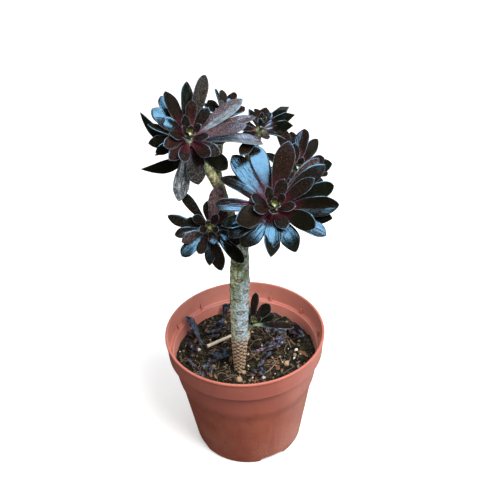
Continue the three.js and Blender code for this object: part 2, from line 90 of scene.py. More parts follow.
# The heads. azimuth is degrees right of the front, elevation degrees above level. A leaf is
# (turn, lean, length, width, roll, sweep): turn goes round the head's axis from its right-hand
# side, lean is measured from the axis, roll twists the blade on its rib, and sweep carries the
# tip sideways, towards a greater turn.
HEADS = {
    "front": dict(
        centre=(24.2, -36, 248.5), azimuth=10, elevation=53, depth=11, core=4, bend=26,
        leaves=(
            (95, 82, 46, 13.5), (118, 84, 46, 14.5), (138, 80, 42, 15), (170, 78, 40, 9.5),
            (195, 84, 37, 12), (205, 80, 37, 12), (223, 82, 34.5, 15), (256, 80, 36.5, 13),
            (285, 80, 34, 14), (320, 82, 40, 13), (340, 86, 40, 13), (349, 74, 45, 14),
            (10, 80, 44, 12), (30, 74, 46, 12), (38, 80, 48, 11), (69, 66, 46.5, 14.5),
            (199, 66, 33, 16), (318, 66, 34, 13), (20, 62, 34, 10), (258, 70, 30, 13),
            (155, 60, 18, 10),
        ),
        heart=dict(count=11, start=280, lean=62, length=22),
    ),
    "side": dict(
        centre=(43.9, 12, 250), azimuth=30, elevation=55, depth=10, core=3.6, bend=24,
        leaves=(
            (86, 74, 37, 12.5), (51, 76, 34.5, 12), (64, 86, 33, 9), (30, 80, 32.5, 10),
            (351, 84, 30, 10, 20), (0, 72, 24, 9), (124, 86, 24, 9), (340, 84, 26, 10),
            (310, 86, 24, 10), (275, 88, 22, 9), (240, 88, 20, 9), (200, 88, 20, 9),
            (160, 86, 20, 9),
        ),
        heart=dict(count=8, start=70, lean=62, length=20),
    ),
    "left": dict(
        centre=(-31, -10, 292), azimuth=20, elevation=55, depth=10, core=4, bend=24,
        leaves=(
            (60, 74, 46, 11), (77, 76, 40, 11), (102, 74, 35, 12.5), (104, 88, 37, 11),
            (121, 88, 32, 11), (171, 98, 27.5, 8, 0, -27), (151, 78, 28, 8), (142, 70, 26, 7),
            (70, 56, 25, 8), (137, 64, 22, 8), (18, 74, 45.5, 13), (1, 76, 47.5, 10),
            (341, 82, 51, 10.5), (346, 64, 40, 9), (315, 104, 33, 11.5), (270, 112, 28.5, 13.5),
            (284, 104, 19, 8), (246, 124, 39, 11.5), (234, 128, 26, 9.5, 0, -25), (194, 100, 23, 8, 45),
            (168, 90, 26, 9), (188, 86, 24, 8), (195, 64, 23, 9), (220, 74, 25, 9),
            (240, 72, 22, 9), (294, 72, 21, 9), (312, 76, 24, 9), (340, 82, 25.5, 8),
            (38, 62, 24, 8),
        ),
        heart=dict(count=9, start=181, lean=52, length=18),
    ),
    "low": dict(
        centre=(-21, -28, 228), azimuth=5, elevation=36, depth=8, core=3.2, bend=20,
        leaves=(
            (124, 84, 30.5, 7.5), (166, 86, 29.5, 8, 0, -4), (157, 80, 16.5, 7), (186, 84, 24.5, 8),
            (220, 82, 27.5, 10.5), (200, 76, 22, 8), (265, 84, 26, 7.5), (280, 82, 31, 10),
            (308, 82, 34, 9), (328, 80, 24, 9.5), (90, 70, 19, 8), (44, 76, 17, 10),
            (72, 66, 31, 11), (4, 82, 17, 9), (240, 74, 20, 8),
        ),
        heart=dict(count=8, start=140, lean=62, length=15),
    ),
    "rear": dict(
        centre=(18.6, 12, 286.5), azimuth=60, elevation=72, depth=7, core=3, bend=18,
        leaves=(
            (340, 62, 26.5, 9.5, 35), (326, 66, 27, 8.5, 35), (316, 77, 24, 9, 45), (350, 84, 22, 8),
            (18, 80, 23, 8), (36, 76, 19.5, 7.5), (100, 80, 17, 7), (135, 84, 17, 8),
            (165, 88, 16, 8), (186, 96, 31, 8.5), (250, 90, 9, 7), (290, 88, 18, 8),
        ),
        heart=dict(count=8, start=75, lean=60, length=15),
    ),
    "back": dict(
        centre=(-6, 20, 293), azimuth=60, elevation=76, depth=7, core=3, bend=16,
        leaves=(
            (97, 32, 19.5, 9), (45, 52, 19, 8), (16, 66, 22, 9), (132, 60, 18.5, 9),
            (78, 72, 17, 9), (25, 84, 22, 8), (180, 78, 20, 8), (225, 82, 16, 7),
            (270, 80, 12, 6), (337, 74, 17, 8), (115, 82, 18, 8),
        ),
        heart=dict(count=6, start=20, lean=56, length=14),
    ),
    "shoot": dict(
        centre=(6.5, -10, 124), azimuth=40, elevation=60, depth=4, core=2.2, bend=14,
        leaves=(
            (62, 42, 26, 7), (8, 46, 21, 9.5), (318, 76, 33, 8.5), (100, 42, 17, 6),
            (345, 68, 20, 7),
        ),
        heart=dict(count=4, start=200, lean=40, length=11),
    ),
}
GOLDEN_ANGLE = 137.508
HEART = dict(tip_lean=12, tip_length=7, width_share=0.44)
CORE = dict(shoulder=0.7, top=0.6, tip=2, sunk=0.8, sides=24)
BLADE = dict(root=2.4, tip=1.1, root_out=0.4, roll_rate=1.6, deepest_lean=100)

# The tiny unopened leaves at the middle of each head, which only this finer model has
BUD = dict(count=6, lean=22, length=5.5, tip_lean=4, tip_length=3, width_share=0.55)

# Ways that a blade curves: where along it the bend starts, how far the tip bends down as a share
# of the length, and how hollow the upper side is
CURVES = {
    "cupped": dict(hinge=0.4, droop=-0.045, keel=0.1),
    "level": dict(hinge=0.3, droop=-0.02, keel=0.22),
    "hollow": dict(hinge=0.5, droop=0.04, keel=0.4),
    "drooping": dict(hinge=0.35, droop=0.1, keel=0.25),
    "bowed": dict(hinge=0.15, droop=0.13, keel=0.25),
}

# Grown leaves that differ from the rest, by their turn in the head. twist is in degrees, dust_and_sheen
# is a dull pale film, partly a real dusty coat and partly a painted reflection of a lighter sky,
# frost_and_sheen a pale film on one half, also partly real and partly painted reflection of the sky on
# the half that faces it, which covers the whole leaf at 2, sickle a sideways sweep of the tip in mm, and
# wilt how shrivelled the leaf is. dark goes from brown to black, lined from smooth to furrowed, and flush
# carries the crimson of the foot further out. A small blunt makes a pointed tip, and a large shoulder a
# slim one.
LOOKS = {
    "front": {
        95: dict(lined=0.0),
        118: dict(lined=1.0),
        138: dict(curve="drooping", twist=27, dark=0.8, lined=1.0),
        170: dict(curve="drooping", twist=-12, dark=0.2, lined=0.8, flush=0.6),
        195: dict(twist=24, dark=1.0),
        205: dict(curve="drooping", dark=0.6, lined=0.6),
        223: dict(curve="bowed", dark=0.7, lined=0.8, blunt=1.4),
        258: dict(curve="bowed", twist=6, dark=0.9, lined=0.8, blunt=1.2),
        256: dict(twist=-24, dark=0.9, blunt=1.3),
        285: dict(curve="bowed", dark=1.0, lined=0.7, blunt=1.25),
        320: dict(curve="level", twist=-12, lined=1.0),
        340: dict(twist=24, dark=1.0, blunt=1.3),
        349: dict(curve="hollow", twist=33, dark=0.8, lined=0.6),
        10: dict(twist=24, dark=1.0),
        30: dict(twist=12, dark=0.5),
        38: dict(curve="level", twist=20, dust_and_sheen=0.35),
        69: dict(dark=0.3, lined=0.2, blunt=1.7),
        199: dict(twist=-20, dark=0.7, lined=0.0, blunt=1.15),
        318: dict(twist=24, dark=0.9),
        155: dict(twist=20, dark=0.6),
    },
    "side": {
        51: dict(curve="level", twist=-36, dark=0.4, lined=0.6),
        64: dict(twist=-36, dark=0.2),
        86: dict(twist=12, dark=0.1, lined=0.2, blunt=1.5),
        351: dict(dark=1.0),
        0: dict(twist=24, dark=0.2, flush=0.6),
        30: dict(twist=24, dark=0.8),
        124: dict(twist=12),
        340: dict(curve="hollow"),
        310: dict(curve="hollow"),
    },
    "left": {
        60: dict(twist=28, dust_and_sheen=0.22, dark=0.9, lined=0.0, blunt=2.4),
        77: dict(twist=26, dark=0.9, lined=0.8, blunt=1.6),
        102: dict(twist=24, dark=0.5, lined=0.2, blunt=1.9),
        70: dict(flush=0.7),
        104: dict(curve="level"),
        121: dict(twist=-12),
        137: dict(curve="drooping", twist=-12),
        151: dict(twist=24, dark=0.6),
        171: dict(twist=-36, dark=1.0),
        18: dict(twist=-20, dust_and_sheen=0.8, frost_and_sheen=1.0, dark=0.0),
        1: dict(curve="level", twist=-20, dust_and_sheen=0.8, dark=0.0),
        341: dict(curve="hollow", twist=-20, dust_and_sheen=0.9, frost_and_sheen=1.0, dark=0.0),
        346: dict(dust_and_sheen=0.6, dark=0.0, flush=0.6),
        315: dict(curve="drooping", twist=24, dark=1.0),
        270: dict(dust_and_sheen=0.25, dark=0.9),
        284: dict(curve="drooping", twist=20, dark=0.5),
        246: dict(dust_and_sheen=1.0, frost_and_sheen=2.0, wilt=2.0, dark=0.0, lined=1.0, blunt=1.6),
        234: dict(dark=1.0, blunt=1.4),
        194: dict(sickle=-5.0, dark=1.0, blunt=1.4),
        195: dict(twist=-24, flush=0.4, dark=0.1),
        220: dict(twist=-24, flush=0.6, dark=0.1),
        240: dict(twist=-24, flush=0.6, dark=0.1),
        168: dict(twist=-36, dark=0.9),
        188: dict(twist=-36, dark=1.0),
        294: dict(twist=32, flush=0.6, dark=0.1),
        312: dict(twist=34, dust_and_sheen=0.2, flush=0.5),
    },
    "low": {
        44: dict(dark=0.0, flush=0.5),
        72: dict(dust_and_sheen=0.8, dark=0.0, lined=0.3, flush=1.0),
        166: dict(dark=0.8, blunt=1.5),
        186: dict(curve="hollow", twist=12),
        200: dict(twist=-20, dust_and_sheen=0.4),
        220: dict(twist=19, dark=0.9, lined=0.8),
        240: dict(curve="level", twist=-20),
        265: dict(dark=0.9, blunt=1.5),
        280: dict(curve="drooping", twist=12, dark=0.7, blunt=1.5),
        308: dict(curve="hollow", dark=0.9),
        328: dict(curve="hollow", dark=0.5),
        4: dict(dark=0.9),
    },
    "rear": {
        340: dict(twist=32, dark=1.0, blunt=1.0, shoulder=0.95),
        326: dict(twist=34, dark=1.0, blunt=1.0, shoulder=0.95),
        316: dict(twist=26, dark=1.0, blunt=1.1, shoulder=0.9),
        36: dict(curve="hollow", twist=12),
        290: dict(curve="hollow", twist=-12),
    },
    "back": {
        97: dict(twist=18, dark=0.6),
        45: dict(twist=24, dark=0.4),
        16: dict(twist=-24, dark=0.2, flush=0.8),
        115: dict(curve="drooping", twist=30, dark=0.9),
    },
    "shoot": {
        318: dict(curve="level", twist=-20, dark=0.4),
        345: dict(curve="drooping", twist=34, dark=0.9),
        62: dict(dark=0.7),
        8: dict(dark=0.4, blunt=2.2),
    },
}

# Dried leaves on the soil, as in the construction
LITTER = (
    dict(x=-36, y=11, heading=118, length=31, width=7, pitch=6, curl=42, sweep=8, roll=30),
    dict(x=-31, y=3, heading=-40, length=21, width=7, pitch=4, curl=8, sweep=20, roll=20),
    dict(x=-36, y=-16, heading=8, length=21, width=8, pitch=4, curl=16, sweep=30, roll=-25),
    dict(x=-33, y=27, heading=20, length=19, width=8, pitch=8, curl=24, sweep=-30, roll=35),
    dict(x=-20, y=41, heading=45, length=18, width=8, pitch=14, curl=30, sweep=20, roll=-30),
    dict(x=6, y=0, heading=8, length=29, width=7, pitch=3, curl=12, sweep=16, roll=30),
    dict(x=9, y=-17, heading=30, length=19, width=6, pitch=8, curl=-8, sweep=24, roll=-35),
    dict(x=33, y=35, heading=-42, length=33, width=8, pitch=6, curl=10, sweep=-44, roll=40),
    dict(x=-49, y=14, heading=-78, length=20, width=8, pitch=8, curl=20, sweep=30, roll=-40),
    dict(x=5, y=-24, heading=-35, length=14, width=7, pitch=4, curl=20, sweep=-30, roll=20),
)
TWIG = dict(start=(-32, 8.5), end=(-10, 21.5), radius=1.5)


# Numbers and curves

NOISE_PERIOD = 32
CURVE_STEPS = 40


def smoothstep(x):
    x = np.clip(x, 0, 1)
    return x * x * (3 - 2 * x)


def rising(x, start, over):
    """0 up to start, then smoothly up to 1 over a distance."""
    return smoothstep((x - start) / over)


def lerp(a, b, share):
    return a + (b - a) * share


def unit(v):
    v = np.asarray(v, float)
    return v / np.linalg.norm(v, axis=-1, keepdims=True)


def noise(points, size, seed):
    """Smooth random values from -1 to 1 at points, with bumps about size across."""
    lattice = np.random.default_rng(seed).uniform(-1, 1, (NOISE_PERIOD,) * 3)
    place = np.asarray(points, float) / size
    cell = np.floor(place).astype(int)
    step = smoothstep(place - cell)
    total = np.zeros(len(place))
    for corner in np.ndindex(2, 2, 2):
        weight = np.prod(np.where(np.array(corner) == 1, step, 1 - step), axis=1)
        index = (cell + np.array(corner)) % NOISE_PERIOD
        total += weight * lattice[index[:, 0], index[:, 1], index[:, 2]]
    return total


def run_along(line):
    """The length of a line up to each of its points."""
    return np.concatenate([[0], np.cumsum(np.linalg.norm(np.diff(line, axis=0), axis=1))])


def at_length(places, length, values):
    """Vectors known at each length of a line, read at other places along it."""
    return np.column_stack([np.interp(places, length, values[:, k]) for k in range(3)])


def catmull_rom(points, count):
    """count points, evenly spaced by length, on a centripetal Catmull-Rom curve through points."""
    p = np.asarray(points, float)
    p = np.vstack([2 * p[0] - p[1], p, 2 * p[-1] - p[-2]])
    dense = []
    for a, b, c, d in zip(p, p[1:], p[2:], p[3:]):
        ab, bc, cd = (math.sqrt(np.linalg.norm(v)) for v in (b - a, c - b, d - c))
        out = ((b - a) / ab - (c - a) / (ab + bc) + (c - b) / bc) * bc
        into = ((c - b) / bc - (d - b) / (bc + cd) + (d - c) / cd) * bc
        t = np.linspace(0, 1, CURVE_STEPS, endpoint=False)[:, None]
        dense.append(b + out * t + (3 * (c - b) - 2 * out - into) * t**2 + (2 * (b - c) + out + into) * t**3)
    dense = np.vstack([*dense, p[-2]])
    length = run_along(dense)
    return at_length(np.linspace(0, length[-1], count), length, dense)


def frames_along(points):
    """Tangent and two cross directions at each point of a line, with no twist between them."""
    tangent = unit(np.gradient(points, axis=0))
    start = np.eye(3)[np.argmin(np.abs(tangent[0]))]
    normal = [unit(np.cross(tangent[0], start))]
    for t in tangent[1:]:
        normal.append(unit(normal[-1] - t * (normal[-1] @ t)))
    normal = np.array(normal)
    return tangent, normal, np.cross(tangent, normal)


# Meshes

class Parts:
    """Closed pieces gathered into one mesh, in millimetres, with a value at each point for each name."""

    def __init__(self, *names):
        self.points = []
        self.faces = []
        self.materials = []
        self.values = {name: [] for name in names}
        self.count = 0

    def add(self, points, faces, material=0, **values):
        self.faces += [[i + self.count for i in face] for face in faces]
        self.materials += [material] * len(faces)
        self.points.append(points)
        self.count += len(points)
        for name, gathered in self.values.items():
            gathered.append(np.broadcast_to(values.get(name, 0.0), (len(points),)))

    def mesh(self, name, materials=()):
        """The gathered mesh, smooth, with every face's normal turned out."""
        mesh = bpy.data.meshes.new(name)
        mesh.from_pydata((np.vstack(self.points) * MM).tolist(), [], self.faces)
        set_values(mesh, {name: np.concatenate(gathered) for name, gathered in self.values.items()})
        for material in materials:
            mesh.materials.append(material)
        mesh.polygons.foreach_set("material_index", self.materials)
        work = bmesh.new()
        work.from_mesh(mesh)
        bmesh.ops.recalc_face_normals(work, faces=work.faces)
        work.to_mesh(mesh)
        work.free()
        mesh.shade_smooth()
        return mesh

    def build(self, name, materials, replaces=()):
        """Add the gathered mesh to the scene as a piece of the plant or pot."""
        piece = add_object(name, self.mesh(name, materials))
        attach(piece, "root")
        if replaces:
            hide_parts(*replaces)
        return piece


def add_object(name, data):
    added = bpy.data.objects.new(name, data)
    bpy.context.scene.collection.objects.link(added)
    return added


def set_values(mesh, values):
    """Give a mesh named values at its points, for its materials to read."""
    for name, numbers in values.items():
        attribute = mesh.attributes.new(name, "FLOAT", "POINT")
        attribute.data.foreach_set("value", numbers.astype(np.float32))


def vectors(mesh, name):
    """A vector that each point of a mesh has, as its place or its normal."""
    numbers = np.empty(len(mesh.vertices) * 3, np.float32)
    mesh.vertices.foreach_get(name, numbers)
    return numbers.reshape(-1, 3).astype(float)


def apply_modifiers(piece):
    """Keep the shape that a piece's modifiers give it, and drop the modifiers."""
    mesh = bpy.data.meshes.new_from_object(piece.evaluated_get(bpy.context.evaluated_depsgraph_get()))
    piece.modifiers.clear()
    piece.data = mesh
    mesh.name = piece.name


def loft_faces(rings, sides):
    """Faces of a closed skin over rings of points, followed by its start point and its end point."""
    faces = []
    start, end = rings * sides, rings * sides + 1
    for k in range(rings - 1):
        for i in range(sides):
            j = (i + 1) % sides
            faces.append((k * sides + i, k * sides + j, (k + 1) * sides + j, (k + 1) * sides + i))
    for i in range(sides):
        j = (i + 1) % sides
        faces.append((start, j, i))
        faces.append((end, (rings - 1) * sides + i, (rings - 1) * sides + j))
    return faces


def ring(radius, height, sides):
    """Points evenly round the upright axis."""
    angle = np.linspace(0, 2 * np.pi, sides, endpoint=False)
    return np.column_stack([radius * np.cos(angle), radius * np.sin(angle), np.full(sides, height)])


def tube(path, radii, sides):
    """Points and faces of a round tube along a line of points, with its two ends closed."""
    _, normal, binormal = frames_along(path)
    angle = np.linspace(0, 2 * np.pi, sides, endpoint=False)
    spokes = normal[:, None] * np.cos(angle)[:, None] + binormal[:, None] * np.sin(angle)[:, None]
    points = path[:, None] + spokes * np.broadcast_to(radii, (len(path),))[:, None, None]
    return np.vstack([points.reshape(-1, 3), path[0], path[-1]]), loft_faces(len(path), sides)


# Materials

class Field:
    """A value that varies over a surface, with the arithmetic of a number."""

    def __init__(self, shader, socket):
        self.shader = shader
        self.socket = socket

    def __add__(self, other):
        return self.shader.math("ADD", self, other)

    def __sub__(self, other):
        return self.shader.math("SUBTRACT", self, other)

    def __mul__(self, other):
        return self.shader.math("MULTIPLY", self, other)


class Shader:
    """A node material built up by short calls."""

    def __init__(self, name, **sockets):
        self.material = bpy.data.materials.new(name)
        self.material.use_nodes = True
        self.nodes = self.material.node_tree.nodes
        self.links = self.material.node_tree.links
        self.finish(**sockets)

    def give(self, socket, value):
        """Link a socket to a field, or set it to a number, a vector or a colour."""
        if isinstance(value, Field):
            self.links.new(value.socket, socket)
        elif socket.type == "RGBA":
            socket.default_value = (*value, 1)
        else:
            socket.default_value = value

    def node(self, kind, output, inputs, **settings):
        """Add a node, and return one of its outputs as a field."""
        node = self.nodes.new("ShaderNode" + kind)
        for name, value in settings.items():
            setattr(node, name, value)
        for key, value in inputs.items():
            self.give(node.inputs[key], value)
        return Field(self, node.outputs[output])

    def finish(self, **sockets):
        """Give the surface its sockets, and return the material."""
        for name, value in sockets.items():
            self.give(self.nodes["Principled BSDF"].inputs[name.replace("_", " ")], value)
        return self.material

    def value(self, name):
        """A value that the mesh holds at each point."""
        return self.node("Attribute", "Fac", {}, attribute_name=name)

    def place(self, scale=(1, 1, 1)):
        """Where a point is, in metres times scale."""
        where = self.node("TexCoord", "Object", {})
        return self.node("VectorMath", 0, {0: where, 1: scale}, operation="MULTIPLY")

    def combine(self, x, y, z):
        return self.node("CombineXYZ", 0, {0: x, 1: y, 2: z})

    def level(self):
        """The height of a point, in metres."""
        return self.node("SeparateXYZ", "Z", {0: self.place()})

    def dot(self, a, b):
        return self.node("VectorMath", "Value", {0: a, 1: b}, operation="DOT_PRODUCT")

    def inward(self):
        """1 where the surface faces the upright axis, as inside a pot, and 0 elsewhere."""
        outwards = self.dot(self.place((1, 1, 0)), self.node("NewGeometry", "Normal", {}))
        return self.span(outwards, -0.035, -0.015, 1.0, 0.0)

    def noise(self, scale, vector=None, detail=3.0, roughness=0.55):
        inputs = {"Vector": vector or self.place(), "Scale": scale, "Detail": detail, "Roughness": roughness}
        return self.node("TexNoise", "Fac", inputs)

    def cells(self, scale):
        return self.node("TexVoronoi", "Distance", {"Vector": self.place(), "Scale": scale})

    def math(self, operation, a, b, clamp=False):
        return self.node("Math", 0, {0: a, 1: b}, operation=operation, use_clamp=clamp)

    def span(self, value, low, high, to_low=0.0, to_high=1.0):
        """Map a value smoothly from between low and high to between to_low and to_high."""
        inputs = dict(enumerate((value, low, high, to_low, to_high)))
        return self.node("MapRange", "Result", inputs, interpolation_type="SMOOTHSTEP")

    def ramp(self, value, *stops):
        """A colour ramp of (place, colour) stops."""
        colour = self.node("ValToRGB", "Color", {"Fac": value})
        elements = colour.socket.node.color_ramp.elements
        while len(elements) < len(stops):
            elements.new(1.0)
        for element, (place, tone) in zip(elements, stops):
            element.position = place
            element.color = (*tone, 1)
        return colour

    def mix(self, share, a, b):
        """From colour a, at share 0, to colour b, at share 1."""
        return self.node("Mix", 2, {0: share, 6: a, 7: b}, data_type="RGBA")

    def mottled(self, pattern, low, high, a, b):
        """Patches of colour a and colour b, parted where the pattern goes from low to high."""
        return self.mix(self.span(pattern, low, high), a, b)

    def bump(self, height, depth, strength=1.0, under=None):
        """Relief of the given depth in millimetres, over the relief under it."""
        inputs = {"Height": height, "Distance": depth * MM, "Strength": strength}
        if under:
            inputs["Normal"] = under
        return self.node("Bump", "Normal", inputs)


def leaf_material():
    """Glossy fleshy leaf: crimson at the foot, near-black maroon blade, pale margin, dull underside."""
    s = Shader("leaf_skin", IOR=1.5)
    along, rim, top, run, across, young, tint, dust_and_sheen, frost_and_sheen, dark, lined, flush = map(s.value, LEAF_VALUES)
    fibres = s.noise(1.0, s.combine(run * 0.09, across * 1.3, tint), detail=4)
    furrow = s.noise(1.0, s.combine(run * 0.05, across * 0.5, tint * 7.0))
    mottle = s.noise(420.0, detail=4)
    underside = s.span(top, -0.4, 0.4, 1.0, 0.0)

    fade = along + (fibres - 0.5) * 0.26 - flush * 0.25
    blade = s.ramp(
        fade,
        (0.04, (0.18, 0.030, 0.046)), (0.20, (0.11, 0.014, 0.028)), (0.36, (0.040, 0.0060, 0.010)),
        (0.52, (0.0135, 0.0056, 0.0042)), (1.0, (0.0080, 0.0050, 0.0030)),
    )
    warm = s.mix(s.span(tint, 0.35, 0.9) * 0.7, blade, (0.022, 0.0080, 0.0055))
    blade = s.mix(s.span(along, 0.35, 0.6), blade, warm)
    blade = s.mix(dark * s.span(fade, 0.25, 0.6), blade, (0.0028, 0.0038, 0.0014))
    flushed = s.math("MULTIPLY", flush, s.span(s.noise(1000.0, detail=4), 0.40, 0.60), clamp=True)
    blade = s.mix(flushed * 0.75, blade, (0.017, 0.006, 0.006))
    speck = s.span(s.noise(1300.0), 0.5, 0.7, 0.0, 0.6) * s.span(dark, 0.0, 1.0, 1.0, 0.4)
    blade = s.mix(speck, blade, (0.054, 0.043, 0.038))
    green = s.mottled(along, 0.3, 0.75, (0.50, 0.60, 0.16), (0.050, 0.016, 0.010))
    blade = s.mix(young, blade, green)
    fresh_foot = s.math("MULTIPLY", flush, s.span(along, 0.06, 0.30, -0.8, 0.0), clamp=True)
    blade = s.mix(fresh_foot, blade, (0.34, 0.46, 0.24))

    # Painted reflection: the dull pale colours below, laid on some leaves, stand partly for a real dusty
    # film and partly for the reflection of a lighter sky on leaves that face it
    pinkish = s.mottled(mottle, 0.38, 0.62, (0.034, 0.014, 0.013), (0.110, 0.058, 0.058))
    olive = s.mottled(mottle, 0.35, 0.65, (0.022, 0.021, 0.015), (0.090, 0.084, 0.070))
    greyish = s.mottled(mottle, 0.38, 0.62, (0.075, 0.105, 0.120), (0.26, 0.32, 0.35))
    # Painted reflection: one half of such a leaf is painted pale, for the sky reflected on the half that
    # faces it
    frost_and_sheen_half = s.math("MAXIMUM", frost_and_sheen * s.span(across, 0.3, -0.5), frost_and_sheen - 1.0)
    dull = s.mix(s.math("MINIMUM", frost_and_sheen_half, 1.0), s.mix(dark, pinkish, olive), greyish)
    dull = s.mix(s.span(fibres, 0.3, 0.55, 0.6, 0.0), dull, (0.035, 0.012, 0.014))
    dull = s.mix(lined * s.span(fibres, 0.46, 0.56, 0.9, 0.0), dull, (0.020, 0.017, 0.022))
    dull = s.mix(s.span(s.noise(1150.0), 0.52, 0.64, 0.0, 0.75), dull, (0.30, 0.27, 0.28))
    blade = s.mix(dust_and_sheen * s.span(along, 0.1, 0.4), blade, dull)

    back = s.mottled(mottle, 0.35, 0.65, (0.012, 0.011, 0.008), (0.034, 0.018, 0.014))
    back = s.mix(s.span(fade, 0.05, 0.3, 0.8, 0.0), back, (0.20, 0.045, 0.055))
    skin = s.mix(underside, blade, back)
    worn = s.span(s.noise(90.0), 0.4, 0.6, 0.4, 1.0)
    broken = s.span(s.noise(1500.0, detail=2), 0.35, 0.62, 0.2, 1.0) * worn
    edge = s.span(rim, 0.08, 0.40, 1.0, 0.0) * broken
    margin = s.mix(young, (0.22, 0.32, 0.40), (0.40, 0.48, 0.25))
    colour = s.mix(edge * 0.9, skin, margin)

    relief = s.bump(fibres, 0.16, s.span(lined, 0.0, 1.0, 0.3, 1.0))
    relief = s.bump(furrow, 0.6, s.span(lined, 0.2, 1.0), under=relief)
    relief = s.bump(s.noise(900.0, detail=2), 0.05, under=relief)
    shine = s.span(mottle, 0.3, 0.7, 0.14, 0.24)
    rough = shine + dust_and_sheen * 0.22 + underside * 0.16 + edge * 0.25 + young * 0.2
    return s.finish(Base_Color=colour, Roughness=rough, Normal=relief)


def bark_material():
    """Grey-green stem, painted paler on the side towards the key light as painted light, with eye-shaped
    brown leaf scars, crowded at the foot.
    """
    s = Shader("stem_skin", IOR=1.45)
    scar, heart, foot, bloom_and_lit_side, fresh, woody = map(s.value, BARK_VALUES)
    blotch = s.noise(160.0, detail=5)
    mottle = s.noise(520.0, detail=4)
    fine = s.noise(900.0, detail=4)
    pale = s.mottled(mottle, 0.40, 0.60, (0.26, 0.36, 0.36), (0.56, 0.72, 0.86))
    olive = s.mottled(mottle, 0.40, 0.60, (0.22, 0.25, 0.08), (0.78, 0.88, 0.56))
    # Painted light: the trunk is painted paler on its side towards the key light, besides its own pale film
    skin = s.mix(s.math("ADD", bloom_and_lit_side, (blotch - 0.5) * 1.4, clamp=True), olive, pale)
    moss = s.mix(mottle, (0.06, 0.09, 0.02), (0.22, 0.29, 0.10))
    skin = s.mix(fresh * s.span(blotch, 0.44, 0.60), skin, moss)
    skin = s.mix(s.span(s.noise(1100.0), 0.54, 0.62, 0.0, 0.75), skin, (0.085, 0.080, 0.034))
    wood = s.mottled(mottle, 0.3, 0.7, (0.07, 0.05, 0.022), (0.25, 0.19, 0.095))
    skin = s.mix(woody, skin, wood)
    husk = s.mottled(fine, 0.35, 0.65, (0.24, 0.17, 0.10), (0.58, 0.46, 0.33))
    skin = s.mix(foot, skin, husk)
    skin = s.mix(scar, skin, (0.070, 0.034, 0.014))
    skin = s.mix(heart * 0.9, skin, (0.52, 0.34, 0.19))
    relief = s.bump(blotch, 0.25, under=s.bump(fine, 0.12))
    return s.finish(Base_Color=skin, Roughness=s.span(fine, 0.3, 0.7, 0.55, 0.75), Normal=relief)


def pot_material():
    """Terracotta-coloured moulded plastic, satin, with faint pale grit, streaks and scuffs, painted lighter
    towards the collar and inside as painted light.
    """
    s = Shader("pot_plastic", IOR=1.46, Specular_IOR_Level=0.38)
    cloud = s.noise(28.0, detail=5)
    streak = s.noise(1.0, s.place((120, 120, 14)), detail=4)
    scuff = s.noise(1.0, s.place((260, 260, 900)), detail=6, roughness=0.7)
    level = s.level()
    band_foot = (POT["height"] - POT["band"]) * MM
    base = s.mottled(cloud, 0.35, 0.65, (0.35, 0.090, 0.054), (0.42, 0.122, 0.076))
    base = s.mix(s.span(streak, 0.50, 0.72, 0.0, 0.45), base, (0.24, 0.060, 0.040))
    base = s.mix(s.span(scuff, 0.54, 0.72) * 0.3, base, (0.55, 0.30, 0.24))
    # Painted light: the wall is painted lighter from 35 mm under the collar upwards and over the collar, for
    # the light that the upper pot catches
    base = s.mix(s.span(level, band_foot - 0.035, band_foot, 0.0, 0.45), base, (0.54, 0.180, 0.145))
    # Painted light: the inner walls are painted a much lighter copy of the outer plastic, for the light that
    # falls into the pot
    inside = s.mottled(cloud, 0.35, 0.65, (0.56, 0.20, 0.155), (0.66, 0.27, 0.215))
    base = s.mix(s.inward(), base, inside)
    grit = s.span(s.noise(1700.0, detail=2), 0.60, 0.68) * s.span(level, 0.012, 0.045, 0.9, 0.0)
    base = s.mix(grit * s.span(cloud, 0.42, 0.58), base, (0.60, 0.50, 0.42))
    relief = s.bump(cloud, 0.35, under=s.bump(s.noise(2600.0, detail=2), 0.03))
    return s.finish(Base_Color=base, Roughness=s.span(scuff, 0.35, 0.7, 0.42, 0.60), Normal=relief)


def soil_material():
    """Dark fibrous potting mix."""
    s = Shader("soil_mix", IOR=1.4, Roughness=0.92, Specular_IOR_Level=0.2)
    clod = s.noise(220.0, detail=6)
    colour = s.ramp(
        clod, (0.30, (0.005, 0.005, 0.004)), (0.52, (0.018, 0.015, 0.009)), (0.74, (0.085, 0.068, 0.040)),
    )
    return s.finish(Base_Color=colour, Normal=s.bump(s.cells(900.0), 0.5, under=s.bump(clod, 1.2)))


def crumb_material():
    """Crumbs of peat, bark and grit, each its own brown."""
    s = Shader("soil_crumbs", IOR=1.4, Roughness=0.85, Specular_IOR_Level=0.25)
    colour = s.ramp(
        s.value("tint"),
        (0.0, (0.006, 0.0055, 0.004)), (0.35, (0.018, 0.015, 0.009)), (0.6, (0.062, 0.050, 0.026)),
        (0.82, (0.19, 0.150, 0.082)), (0.97, (0.33, 0.26, 0.16)),
    )
    fine = s.noise(1400.0, detail=4)
    return s.finish(Base_Color=s.mix(fine * 0.6, colour, (0.020, 0.013, 0.009)), Normal=s.bump(fine, 0.25))


def stone_material(name, low, high):
    """Perlite, or a pebble: a rough pale grain."""
    s = Shader(name, IOR=1.45, Roughness=0.8)
    colour = s.mix(s.noise(1500.0, detail=5), low, high)
    return s.finish(Base_Color=colour, Normal=s.bump(s.cells(1800.0), 0.2))


def fibre_material(name, low, high):
    """Root or wood: fine grain along a thin piece."""
    s = Shader(name, IOR=1.45, Roughness=0.7)
    grain = s.noise(1100.0, detail=4)
    return s.finish(Base_Color=s.mix(grain, low, high), Normal=s.bump(grain, 0.15))


